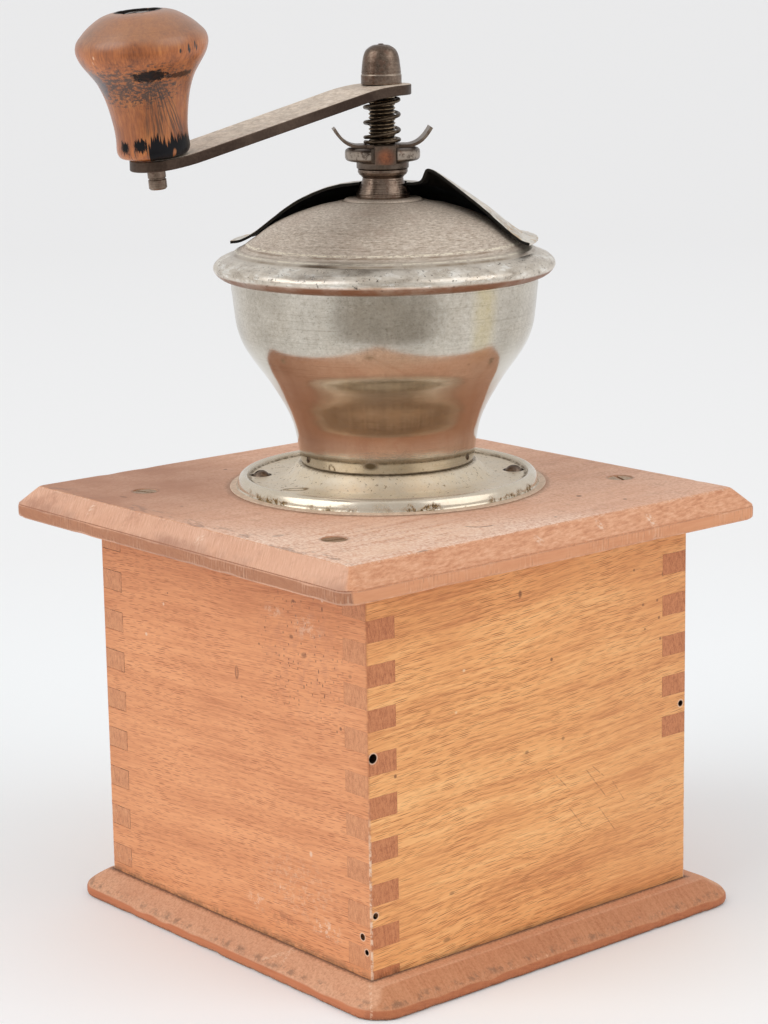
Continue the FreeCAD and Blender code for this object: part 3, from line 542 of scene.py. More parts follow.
def worm_holes(w, c, col):
    """Worm holes by the near corner: pale broken edge, painted shade inside."""
    x, y, z = c
    N = w.sep(w.normal())
    fx, fy = w.step(w.m("ABSOLUTE", N[0]), 0.6, 0.4), w.step(w.m("ABSOLUTE", N[1]), 0.6, 0.4)
    for u, own, on, holes in ((x, fx, w.step(y, 55.0, 56.0), ((-58.7, 19.3, 0.9), (-60.4, 15.2, 0.75))),
                              (y, fy, w.step(x, -55.0, -56.0), ((60.3, 71.1, 1.3), (60.3, 26.0, 0.85), (-59.8, 62.8, 0.9)))):
        col = w.mix(w.mul(w.mul(rim(w, u, z, holes), w.mul(on, own)), 0.7), col, SCUFF)
        # painted shade: the inside of the holes darkened
        col = w.mix(w.mul(pits(w, u, z, holes), on), col, lin(22, 13, 9))
    return col


def rear_extra(w, P, c, col, r, h):
    """Left seen face: stain, specks and pale scuffs towards the near upper corner, a small oval mark, scuffs low down."""
    x, y, z = c
    out = w.step(y, 50.0, 55.0)
    zone = w.ellipse(x, z, -35.0, 95.0, 17.0, 19.0, 0.6)
    sn = w.noise(w.vm("SCALE", P, s=0.30), detail=4.0, rough=0.7)
    col = w.mix(w.mul(w.mul(zone, w.step(sn, 0.42, 0.66)), 0.32), col, lin(186, 122, 94))
    d, cc = w.voro(w.comb(w.mul(x, 0.5), w.mul(z, 0.36), 0.0), dims="2D")
    tiny = w.mul(w.mul(w.step(d, 0.17, 0.06), w.step(w.sep(cc)[0], 0.52, 0.6)), zone)
    col = w.mix(w.mul(tiny, 0.7), col, lin(122, 70, 52))
    dark = w.marks(x, z, tuple((a, b, 0.66 * c, 0.72 * d, e) for a, b, c, d, e in ((-31.1, 109.8, 1.0, 0.6, 0.8), (-43.8, 109.7, 0.5, 0.85, 0.8), (-29.9, 99.4, 1.2, 0.75, 0.75),
                          (-17.9, 99.8, 0.45, 0.45, 0.8), (-15.0, 94.5, 0.5, 0.45, 0.85), (-35.4, 95.1, 1.7, 0.9, 0.65),
                          (-41.7, 91.7, 0.4, 0.8, 0.9), (-41.1, 89.2, 0.35, 0.55, 0.9), (-43.4, 88.0, 0.42, 0.65, 0.85),
                          (-35.1, 86.0, 0.45, 0.75, 0.75), (-44.1, 85.0, 0.38, 0.65, 0.85), (-28.8, 90.8, 0.35, 0.4, 0.8),
                          (-57.7, 102.1, 0.5, 0.5, 0.8), (-55.4, 93.0, 1.0, 0.8, 0.4), (-50.9, 77.3, 0.75, 0.7, 0.85),
                          (-49.3, 76.1, 0.5, 0.5, 0.7), (-6.2, 77.1, 0.4, 0.6, 0.7), (28.8, 101.4, 0.4, 0.35, 0.8),
                          (-2.0, 107.6, 0.45, 0.3, 0.6))))
    col = w.mix(w.mul(dark, w.mul(out, 0.8)), col, lin(100, 58, 44))
    mark = w.ellipse(x, z, -4.1, 83.9, 0.85, 1.9, 0.3)
    core = w.ellipse(x, z, -4.1, 84.1, 0.5, 1.45, 0.3)
    col = w.mix(w.mul(w.mul(w.m("SUBTRACT", mark, w.mul(core, 0.65)), 0.75), out), col, lin(126, 76, 54))
    scn = w.step(w.noise(w.vm("SCALE", P, s=0.75), detail=4.0, rough=0.75), 0.50, 0.60)
    pale = w.mul(w.marks(x, z, ((-21.9, 105.5, 3.2, 1.6, 0.7), (-37.0, 103.2, 5.5, 3.2, 0.5), (-42.9, 16.9, 5.5, 2.6, 0.9),
                                (-11.2, 17.1, 4.0, 2.4, 0.7), (-30.5, 26.0, 14.0, 8.0, 0.35)), 0.7), scn)
    dots = w.marks(x, z, ((31.0, 97.7, 0.4, 0.45, 0.9), (40.4, 86.8, 0.55, 0.5, 0.9), (-43.9, 112.1, 0.5, 0.4, 0.9),
                          (-36.5, 37.6, 0.6, 0.8, 0.9), (-22.0, 24.0, 0.4, 0.5, 0.7)))
    col = w.mix(w.mul(w.mul(w.m("MAXIMUM", pale, dots), 0.75), out), col, SCUFF)
    # dirt just above the base
    low = w.mul(w.step(z, 10.5, 7.7), w.step(sn, 0.36, 0.62))
    col = w.mix(w.mul(low, 0.5), col, GRIME)
    stain = w.mul(w.ellipse(x, z, -23.0, 14.5, 5.0, 2.2, 0.6), w.step(sn, 0.45, 0.6))
    col = w.mix(w.mul(stain, 0.5), col, lin(150, 92, 66))
    col = corner_wear(w, P, c, col)
    col = worm_holes(w, c, col)
    return col, r, h


def left_extra(w, P, c, col, r, h):
    """Right seen face: fine slanting scratches low towards the far edge, a few specks."""
    x, y, z = c
    out = w.step(x, -50.0, -55.0)
    s = w.most([w.stroke(y, z, p, q, t) for p, q, t in (
        ((-8.3, 51.4), (-13.6, 46.0), 0.26), ((-20.5, 50.4), (-28.2, 41.0), 0.30), ((-23.0, 51.0), (-27.5, 47.2), 0.24),
        ((-25.5, 38.0), (-33.0, 28.5), 0.24), ((-13.5, 40.5), (-18.5, 34.5), 0.22), ((-31.0, 45.0), (-36.0, 38.0), 0.22),
        ((-4.0, 54.5), (-8.0, 50.0), 0.2))])
    s = w.mul(w.mul(s, w.step(w.noise(w.vm("SCALE", P, s=0.9), detail=2.0), 0.34, 0.54)), out)
    col = w.mix(w.mul(s, 0.5), col, lin(150, 96, 72))
    n = w.noise(w.vm("MULTIPLY", P, (0.1, 0.10, 0.25)), detail=4.0, rough=0.6)
    low = w.mul(w.step(z, 9.6, 7.7), w.step(n, 0.35, 0.62))
    col = w.mix(w.mul(low, 0.45), col, GRIME)
    dark = w.marks(y, z, ((-6.6, 86.4, 0.5, 0.5, 0.8), (52.4, 64.4, 0.5, 0.5, 0.75), (3.2, 60.8, 0.7, 0.5, 0.5),
                          (-11.1, 62.0, 0.6, 0.5, 0.5), (-39.9, 107.1, 0.4, 0.4, 0.7), (5.5, 107.7, 0.6, 1.0, 0.7),
                          (-43.7, 96.0, 0.5, 0.4, 0.7), (-50.4, 91.0, 0.45, 0.45, 0.8), (-49.6, 96.4, 0.4, 0.4, 0.8),
                          (-52.0, 104.0, 0.5, 0.7, 0.75), (-51.0, 84.5, 0.5, 0.45, 0.7), (-44.5, 88.5, 0.35, 0.35, 0.7),
                          (32.3, 25.7, 0.9, 0.5, 0.45), (34.4, 12.3, 1.3, 0.6, 0.5)))
    col = w.mix(w.mul(dark, out), col, lin(104, 62, 40))
    pale = w.marks(y, z, ((26.9, 89.5, 0.5, 0.4, 0.9), (30.0, 78.0, 0.45, 0.4, 0.7)))
    col = w.mix(w.mul(pale, w.mul(out, 0.8)), col, lin(246, 214, 172))
    far = w.step(y, 10.0, -58.0)
    col = w.mix(w.mul(far, 0.22), col, lin(214, 146, 98))
    col = corner_wear(w, P, c, col)
    col = worm_holes(w, c, col)
    return col, w.add(r, w.mul(s, 0.2)), w.add(h, w.mul(s, -1.0))


def plain_extra(w, P, c, col, r, h):
    """Sides away from the near corner: a little dirt low down, odd specks."""
    x, y, z = c
    n = w.noise(w.vm("SCALE", P, s=0.12), detail=4.0, rough=0.6)
    low = w.mul(w.step(z, 10.5, 7.7), w.step(n, 0.32, 0.62))
    col = w.mix(w.mul(low, 0.5), col, GRIME)
    d, cc = w.voro(w.vm("SCALE", P, s=0.16), 1.0)
    spots = w.mul(w.step(d, 0.085, 0.04), w.step(w.sep(cc)[0], 0.6, 0.66))
    col = w.mix(w.mul(spots, 0.55), col, lin(112, 64, 40))
    scn = w.step(w.noise(w.vm("SCALE", P, s=0.7), detail=4.0, rough=0.75), 0.60, 0.68)
    col = w.mix(w.mul(w.mul(scn, w.step(z, 44.0, 10.0)), 0.4), col, SCUFF)
    col = corner_wear(w, P, c, col)
    return col, r, h


def top_extra(w, P, c, col, r, h):
    """Top board: pink dusty flat, browner bevel with cross hairs, saw marks on the edge."""
    x, y, z = c
    N = w.sep(w.normal())
    flat = w.step(N[2], 0.86, 0.97)
    upright = w.step(w.m("ABSOLUTE", N[2]), 0.45, 0.25)
    bevel = w.mul(w.inv(flat), w.inv(upright))
    ends = w.step(w.m("ABSOLUTE", N[1]), 0.40, 0.55)
    dust = w.noise(w.vm("SCALE", P, s=0.045), detail=5.0, rough=0.62)
    dd = w.step(dust, 0.32, 0.68)
    grit = w.noise(w.vm("SCALE", P, s=1.1), detail=4.0, rough=0.7)
    bare = w.ellipse(x, y, -57.0, 47.0, 22.0, 30.0, 0.55)
    streak = w.noise(w.comb(w.mul(x, 0.42), w.mul(y, 0.03), 2.0), detail=4.0, rough=0.65)
    # dusty flat
    dustc = w.ramp(grit, [(0.36, lin(210, 162, 134)), (0.50, lin(229, 185, 159)), (0.64, lin(238, 199, 175))])
    k = w.mul(w.mul(flat, w.lerp(dd, 0.50, 0.86)), w.inv(w.mul(bare, 0.75)))
    col = w.mix(k, col, dustc)
    # painted shade over the far part of the flat, its strength varying with the dust noise
    shade = w.mul(w.mul(flat, w.step(x, -15.0, 55.0)), w.step(y, 0.0, 40.0))
    col = w.mix(w.mul(shade, w.lerp(dd, 0.95, 0.6)), col, lin(178, 126, 99))
    dusty = w.mul(w.mul(flat, w.step(w.add(x, w.mul(y, -0.6)), -45.0, -80.0)), w.step(grit, 0.30, 0.66))
    col = w.mix(w.mul(dusty, 0.9), col, lin(254, 228, 208))
    rub = w.mul(flat, w.step(w.noise(w.vm("SCALE", P, s=0.20), detail=5.0, rough=0.72), 0.54, 0.66))
    col = w.mix(w.mul(rub, 0.35), col, lin(182, 132, 106))
    # bare streaky patch by the near corner
    b2 = w.mul(w.mul(bare, flat), w.step(streak, 0.44, 0.64))
    col = w.mix(w.mul(b2, 0.75), col, lin(242, 204, 176))
    b3 = w.mul(w.mul(bare, flat), w.step(streak, 0.46, 0.32))
    col = w.mix(w.mul(b3, 0.5), col, lin(208, 140, 100))
    # bevels: end grain sides pinkish brown with slanting hairs, long sides more orange
    hairs = w.noise(w.comb(w.mul(w.add(x, w.mul(y, 0.75)), 2.6), w.mul(w.add(y, w.mul(x, -0.4)), 0.22), 0.0), detail=4.0, rough=0.7)
    fuzz = w.noise(w.comb(w.mul(w.add(x, w.mul(y, 0.15)), 1.1), w.mul(y, 0.30), w.mul(z, 1.1)), detail=5.0, rough=0.7)
    bc = w.mix(ends, w.ramp(fuzz, [(0.34, lin(198, 132, 94)), (0.50, lin(222, 160, 122)), (0.66, lin(238, 184, 148))]),
               w.ramp(hairs, [(0.30, lin(204, 151, 123)), (0.50, lin(223, 173, 145)), (0.70, lin(239, 196, 170))]))
    col = w.mix(w.mul(bevel, w.lerp(dd, 0.70, 0.94)), col, bc)
    col = w.mix(w.mul(w.mul(w.mul(bevel, ends), w.step(x, -10.0, -60.0)), 0.25), col, lin(236, 188, 158))
    smear = w.mul(bevel, w.step(w.noise(w.vm("SCALE", P, s=0.07), detail=5.0, rough=0.7), 0.52, 0.66))
    col = w.mix(w.mul(smear, 0.35), col, w.mix(ends, lin(186, 116, 76), lin(168, 112, 88)))
    low = w.mul(w.mul(w.mul(bevel, ends), w.step(z, 126.5, 124.0)), w.step(dust, 0.40, 0.56))
    col = w.mix(w.mul(low, 0.35), col, lin(150, 102, 82))
    # upright edges with saw chatter
    s = w.lerp(ends, y, x)
    col = w.mix(w.mul(upright, 0.72), col, w.mix(ends, lin(224, 154, 110), lin(166, 113, 86)))
    chat = w.noise(w.comb(w.mul(s, 1.6), w.mul(z, 0.14), 4.0), detail=2.0, rough=0.7)
    part = w.step(w.noise(w.comb(w.mul(s, 0.05), 0.0, w.mul(z, 0.05)), detail=2.0), 0.42, 0.60)
    marks = w.mul(w.mul(upright, w.step(chat, 0.54, 0.64)), part)
    col = w.mix(w.mul(marks, w.lerp(ends, 0.3, 0.45)), col, lin(124, 86, 68))
    pale = w.mul(w.mul(upright, w.step(chat, 0.46, 0.38)), part)
    col = w.mix(w.mul(pale, 0.35), col, lin(236, 200, 172))
    # painted shade: a darker line in the small groove under the bevel; worn pale spots along the arrises
    line = w.mul(w.step(w.m("ABSOLUTE", w.m("SUBTRACT", z, 123.35)), 0.42, 0.12), w.step(grit, 0.36, 0.54))
    col = w.mix(w.mul(line, 0.24), col, lin(124, 78, 58))
    arr = w.mul(w.step(w.m("ABSOLUTE", w.m("SUBTRACT", z, 128.5)), 0.35, 0.1), bevel)
    col = w.mix(w.mul(w.mul(arr, w.step(grit, 0.52, 0.62)), 0.6), col, lin(240, 206, 178))
    rear_arris = w.mul(w.mul(flat, w.step(y, 68.5, 73.0)), w.step(w.noise(w.vm("MULTIPLY", P, (0.10, 0.3, 0.1)), detail=4.0, rough=0.7), 0.50, 0.62))
    col = w.mix(w.mul(rear_arris, 0.55), col, lin(140, 112, 100))
    # small dents and specks
    spots = w.marks(x, y, ((-50.1, -29.6, 0.8, 0.8, 0.9), (-62.5, -36.1, 0.6, 0.6, 0.8), (43.0, 66.5, 1.6, 0.7, 0.4),
                           (-72.0, 49.5, 0.5, 1.8, 0.7), (-30.5, 66.0, 1.2, 1.8, 0.35), (20.0, 62.0, 0.5, 0.5, 0.6),
                           (-66.0, -5.0, 0.5, 0.5, 0.6), (55.0, 20.0, 0.6, 0.6, 0.7), (40.0, -48.0, 0.7, 0.6, 0.7)))
    col = w.mix(w.mul(spots, flat), col, lin(104, 66, 52))
    nick = w.mul(w.marks(x, y, ((-76.0, -33.0, 1.6, 1.2, 0.9), (-74.5, -14.0, 1.3, 0.9, 0.8), (-10.0, 77.8, 1.2, 1.4, 0.8),
                                (44.0, 77.0, 0.9, 1.6, 0.9), (-75.0, 10.0, 1.0, 1.3, 0.6)), 0.6), w.step(grit, 0.46, 0.58))
    col = w.mix(w.mul(nick, 0.8), col, lin(244, 216, 192))
    # dent shaped like a shallow crescent
    dx, dy = w.m("SUBTRACT", x, -60.9), w.m("SUBTRACT", y, 19.0)
    a = w.add(w.mul(dx, 0.55), w.mul(dy, 0.83))
    b = w.add(w.mul(dx, -0.83), w.mul(dy, 0.55))
    bb = w.m("SUBTRACT", b, w.mul(w.mul(a, a), -0.11))
    cres = w.mul(w.step(w.m("ABSOLUTE", bb), 0.55, 0.15), w.step(w.m("ABSOLUTE", a), 4.6, 3.2))
    col = w.mix(w.mul(cres, 0.75), col, lin(96, 60, 48))
    h = w.add(h, w.mul(cres, -3.0))
    # darker ring round the flange, and old dirt round the screws
    rr = w.radius(c)
    ringd = w.mul(w.step(w.add(rr, w.mul(w.m("SUBTRACT", grit, 0.5), 3.0)), 49.6, 47.4), flat)
    col = w.mix(w.mul(ringd, 0.42), col, lin(128, 104, 86))
    scr = []
    for sx, sy in TOP_SCREWS:
        scr.append(w.ellipse(x, y, sx, sy, 4.3, 4.3, 0.09))
    col = w.mix(w.mul(w.most(scr), 0.35), col, lin(110, 80, 60))
    return col, w.add(r, w.mul(flat, 0.06)), w.add(h, w.mul(grit, 0.35))


def base_extra(w, P, c, col, r, h):
    """Base board: dusty bevel, more orange edge, dark line against the box."""
    x, y, z = c
    N = w.sep(w.normal())
    upright = w.step(w.m("ABSOLUTE", N[2]), 0.6, 0.35)
    top = w.inv(upright)
    ends = w.step(w.m("ABSOLUTE", N[0]), 0.34, 0.46)
    dust = w.noise(w.vm("SCALE", P, s=0.06), detail=5.0, rough=0.65)
    dd = w.step(dust, 0.32, 0.68)
    fine = w.noise(w.vm("SCALE", P, s=1.3), detail=4.0, rough=0.7)
    lines = w.noise(w.comb(w.mul(x, 0.08), w.mul(w.add(y, w.mul(x, 0.2)), 0.8), 0.0), detail=5.0, rough=0.75)
    longc = w.ramp(fine, [(0.34, lin(198, 146, 112)), (0.52, lin(218, 167, 133)), (0.68, lin(226, 178, 145))])
    endc = w.ramp(w.add(w.mul(lines, 0.5), w.mul(fine, 0.5)), [(0.36, lin(178, 118, 82)), (0.52, lin(200, 142, 104)), (0.68, lin(212, 156, 120))])
    col = w.mix(w.mul(top, w.lerp(dd, 0.72, 0.92)), col, w.mix(ends, longc, endc))
    col = w.mix(w.mul(w.mul(upright, 0.6), w.inv(ends)), col, lin(196, 118, 76))
    col = w.mix(w.mul(w.mul(upright, 0.6), ends), col, lin(172, 100, 64))
    out = w.m("MAXIMUM", w.m("SUBTRACT", w.m("ABSOLUTE", x), BOX_HX), w.m("SUBTRACT", w.m("ABSOLUTE", y), BOX_HY))
    pale = w.mul(w.mul(w.step(out, 3.0, 1.2), ends), w.step(dust, 0.36, 0.58))
    col = w.mix(w.mul(pale, 0.55), col, lin(168, 138, 106))
    line = w.step(w.add(out, w.mul(w.m("SUBTRACT", fine, 0.5), 2.0)), 1.9, 0.1)
    col = w.mix(w.mul(line, w.lerp(ends, 0.78, 0.6)), col, lin(72, 60, 50))
    # grey smear along the worn arris, bare nicks in it
    ar = w.step(w.m("ABSOLUTE", w.m("SUBTRACT", z, 4.0)), 1.2, 0.2)
    worn = w.mul(ar, w.step(w.noise(w.vm("SCALE", P, s=0.22), detail=5.0, rough=0.7), 0.48, 0.62))
    col = w.mix(w.mul(worn, 0.55), col, lin(116, 90, 72))
    nick = w.mul(w.step(w.m("ABSOLUTE", w.m("SUBTRACT", z, 3.4)), 0.5, 0.1), w.step(w.noise(w.vm("SCALE", P, s=0.55), detail=4.0, rough=0.75), 0.58, 0.66))
    col = w.mix(w.mul(nick, 0.7), col, lin(226, 180, 146))
    low = w.step(w.add(z, w.mul(w.m("SUBTRACT", fine, 0.5), 2.4)), 1.2, 0.2)
    col = w.mix(w.mul(low, 0.6), col, lin(96, 58, 40))
    # crossing scratches, pale
    sc = w.most([w.stroke(x, y, (-63.5, 63.5), (-70.5, 69.0), 0.55), w.stroke(x, y, (-31.0, 63.0), (-22.0, 69.0), 0.9),
                 w.stroke(x, y, (-28.0, 62.6), (-30.0, 68.0), 0.7)])
    sc = w.mul(sc, w.step(w.noise(w.vm("SCALE", P, s=1.5), detail=3.0), 0.44, 0.58))
    col = w.mix(w.mul(sc, 0.5), col, lin(236, 204, 174))
    return col, w.add(r, w.mul(top, 0.08)), w.add(h, w.mul(fine, 0.4))


TOP_SCREWS = [(45.6, 56.9), (-44.5, 57.6), (-39.3, -57.4), (44.5, -57.2)]
BASE_SCREWS = [(44.0, 56.9), (-44.0, 56.9), (57.4, -36.0), (-57.4, -36.0)]

REAR = wood("wood_rear", 0, 2, lin(238, 168, 118), lin(224, 152, 104), lin(202, 129, 85), lin(166, 97, 63), END_REAR, tilt=0.06,
            seed=0.3, extra=rear_extra, bands=0.35, many=0.5, fleck_amt=0.9, fleck_len=2.9, fleck_wid=0.46)
LEFT = wood("wood_left", 1, 2, lin(255, 196, 131), lin(242, 173, 109), lin(214, 141, 86), lin(158, 92, 50), END_SIDE, tilt=0.06,
            seed=1.9, extra=left_extra, bands=0.42, fleck_len=4.0, fleck_wid=0.37, many=0.62, fleck_amt=1.0)
RIGHT = wood("wood_right", 1, 2, lin(238, 176, 120), lin(226, 160, 106), lin(204, 134, 88), lin(160, 98, 60), END_SIDE, tilt=0.03,
             seed=4.2, extra=plain_extra, bands=0.7, fleck_len=3.6)
FRONT = wood("wood_front", 0, 2, lin(236, 172, 124), lin(224, 156, 108), lin(204, 134, 90), lin(166, 98, 64), END_REAR, tilt=-0.02,
             seed=6.4, extra=plain_extra, bands=0.55)
DRAWF = wood("wood_drawer_front", 0, 2, lin(234, 170, 120), lin(222, 154, 106), lin(202, 132, 88), lin(164, 98, 62), END_REAR,
             tilt=0.03, seed=8.8, extra=plain_extra, bands=0.6)
TOPW = wood("wood_top", 1, 0, lin(230, 176, 142), lin(216, 156, 120), lin(190, 124, 92), lin(156, 98, 74), END_SIDE, tilt=0.04,
            seed=2.7, extra=top_extra, fleck_amt=0.3, rough=0.58, coat=0.03)
BASEW = wood("wood_base", 0, 1, lin(210, 144, 106), lin(194, 124, 88), lin(164, 96, 66), lin(124, 78, 58), END_REAR, tilt=0.03,
             seed=5.5, extra=base_extra, fleck_amt=0.3, rough=0.6, coat=0.03)
INNER = wood("wood_inner", 1, 2, lin(222, 184, 142), lin(206, 162, 118), lin(182, 134, 92), lin(146, 102, 68), END_SIDE, tilt=0.02,
             seed=9.1, rough=0.62, coat=0.0)
INNER_X = wood("wood_inner_cross", 0, 2, lin(222, 184, 142), lin(206, 162, 118), lin(182, 134, 92), lin(146, 102, 68), END_REAR,
               tilt=0.02, seed=3.3, rough=0.62, coat=0.0)
INNER_Z = wood("wood_inner_flat", 1, 0, lin(214, 174, 130), lin(196, 150, 106), lin(168, 120, 80), lin(134, 92, 60), END_SIDE,
               tilt=0.02, seed=7.3, rough=0.65, coat=0.0)


def joint_material():
    """Dirt in the fine lines between the fingers, darker on the far left."""
    w = Mat("joint_lines")
    P = w.mm()
    x, y, z = w.sep(P)
    n = w.noise(w.vm("SCALE", P, s=0.35), detail=4.0, rough=0.7)
    near = w.step(x, 20.0, 55.0)
    col = w.mix(near, lin(146, 96, 68), lin(70, 46, 36))
    w.set("Base Color", w.mix(w.step(n, 0.56, 0.42), col, lin(186, 122, 88)))
    w.set("Roughness", w.lerp(n, 0.6, 0.8))
    w.set("Normal", w.bump(n, 0.05, 0.4))
    return w.mat


JOINT = joint_material()


def metal(name, light, dark, rough, spots=None, spot_amt=0.0, spot_scale=0.6, spot_lo=0.60, brush=0.6, extra=None, var=0.10,
          bump=0.02, cloud_s=0.06):
    """Plated or bare steel: cloudy tone, turned scratches, pits."""
    w = Mat(name)
    P = w.mm()
    c = w.sep(P)
    cloud = w.noise(w.vm("SCALE", P, s=cloud_s), detail=5.0, rough=0.6)
    fine = w.noise(w.vm("SCALE", P, s=1.4), detail=3.0, rough=0.6)
    turned = w.noise(w.comb(w.mul(c[0], 0.05), w.mul(c[1], 0.05), w.mul(c[2], 3.2)), detail=3.0, rough=0.7)
    tone = w.add(w.add(w.mul(cloud, 0.55), w.mul(fine, 0.25)), w.mul(turned, 0.2 * brush))
    col = w.ramp(tone, [(0.36, dark), (0.62, light)])
    r = w.add(rough - var, w.mul(w.add(w.mul(cloud, 0.6), w.mul(fine, 0.4)), 2.0 * var))
    metallic = 1.0
    h = w.add(w.mul(turned, 0.5 * brush), w.mul(fine, 0.5))
    if spots is not None:
        sp = w.noise(w.vm("SCALE", P, s=spot_scale), detail=4.0, rough=0.72)
        k = w.mul(w.step(sp, spot_lo, spot_lo + 0.07), spot_amt)
        col = w.mix(k, col, spots)
        r = w.lerp(k, r, 0.75)
        metallic = w.inv(w.mul(k, 0.85))
        h = w.add(h, w.mul(k, -1.2))
    if extra:
        col, r, metallic, h = extra(w, P, c, col, r, metallic, h)
    w.set("Base Color", col)
    w.set("Roughness", r)
    w.set("Metallic", metallic)
    w.set("Normal", w.bump(h, bump, 0.6))
    return w.mat


def bowl_extra(w, P, c, col, r, met, h):
    """Plated bowl: polished low down, duller and pitted above, stained at the foot."""
    x, y, z = c
    a = w.heading(c)
    n = w.noise(w.vm("SCALE", P, s=0.35), detail=4.0, rough=0.7)
    up = w.step(z, 168.0, 178.0)
    r = w.add(r, w.mul(w.inv(w.step(z, 150.0, 164.0)), -0.04))
    mott = w.noise(w.comb(w.mul(a, 0.55), 0.0, w.mul(z, 0.9)), detail=5.0, rough=0.8)
    col = w.mix(w.mul(w.mul(w.step(mott, 0.48, 0.66), up), 0.5), col, lin(148, 138, 122))
    col = w.mix(w.mul(w.mul(w.step(mott, 0.46, 0.34), up), 0.5), col, lin(236, 230, 220))
    # dull grey bloom and fine pits in the upper band, a yellow vertical stripe at one side
    bloom = w.mul(up, w.step(w.noise(w.comb(w.mul(a, 0.05), 0.0, w.mul(z, 0.05)), detail=4.0, rough=0.65), 0.40, 0.66))
    col = w.mix(w.mul(bloom, 0.35), col, lin(150, 142, 130))
    r = w.add(r, w.mul(up, 0.10))
    pits = w.mul(w.step(w.noise(w.vm("SCALE", P, s=2.2), detail=2.0, rough=0.6), 0.62, 0.70), up)
    col = w.mix(w.mul(pits, 0.5), col, lin(104, 96, 84))
    yellow_stripe = w.mul(w.mul(w.step(w.m("ABSOLUTE", w.m("SUBTRACT", a, 39.0)), 8.0, 1.0), up), w.lerp(n, 0.25, 1.0))
    col = w.mix(w.mul(yellow_stripe, 0.6), col, lin(214, 194, 134))
    # fine lines left by turning and polishing
    ln = w.noise(w.comb(w.mul(a, 0.012), 0.0, w.mul(z, 2.6)), detail=3.0, rough=0.7)
    col = w.mix(w.mul(w.step(ln, 0.54, 0.70), 0.28), col, lin(120, 108, 92))
    r = w.add(r, w.mul(w.step(ln, 0.50, 0.70), 0.06))
    # painted reflection of the flange as a bronze tone low down; dark foot line
    low = w.mul(w.step(z, 166.0, 154.0), w.step(z, 141.0, 150.0))
    col = w.mix(w.mul(w.mul(w.step(z, 168.0, 156.0), w.step(z, 143.0, 149.0)), 0.55), col, lin(184, 152, 122))
    col = w.mix(w.mul(low, w.lerp(n, 0.3, 0.75)), col, lin(164, 121, 83))
    met = w.inv(w.mul(low, 0.22))
    r = w.add(r, w.mul(low, 0.03))
    waver = w.noise(w.vm("MULTIPLY", P, (0.13, 0.13, 0.16)), detail=2.0, rough=0.55)
    h = w.add(h, w.mul(w.mul(waver, w.step(z, 176.0, 164.0)), 3.0))
    foot = w.step(w.add(z, w.mul(w.m("SUBTRACT", n, 0.5), 1.2)), 136.9, 136.3)
    col = w.mix(w.mul(foot, 0.7), col, lin(104, 82, 52))
    r = w.lerp(foot, r, 0.7)
    pit = w.mul(w.step(n, 0.62, 0.68), w.step(z, 152.0, 139.0))
    spot = w.mul(w.ellipse(a, z, -11.0, 139.0, 4.5, 1.1, 0.5), w.step(n, 0.36, 0.50))
    k = w.m("MAXIMUM", w.mul(pit, 0.2), w.mul(spot, 0.9))
    col = w.mix(k, col, lin(92, 76, 46))
    r = w.lerp(w.mul(k, 0.8), r, 0.7)
    return col, r, met, h


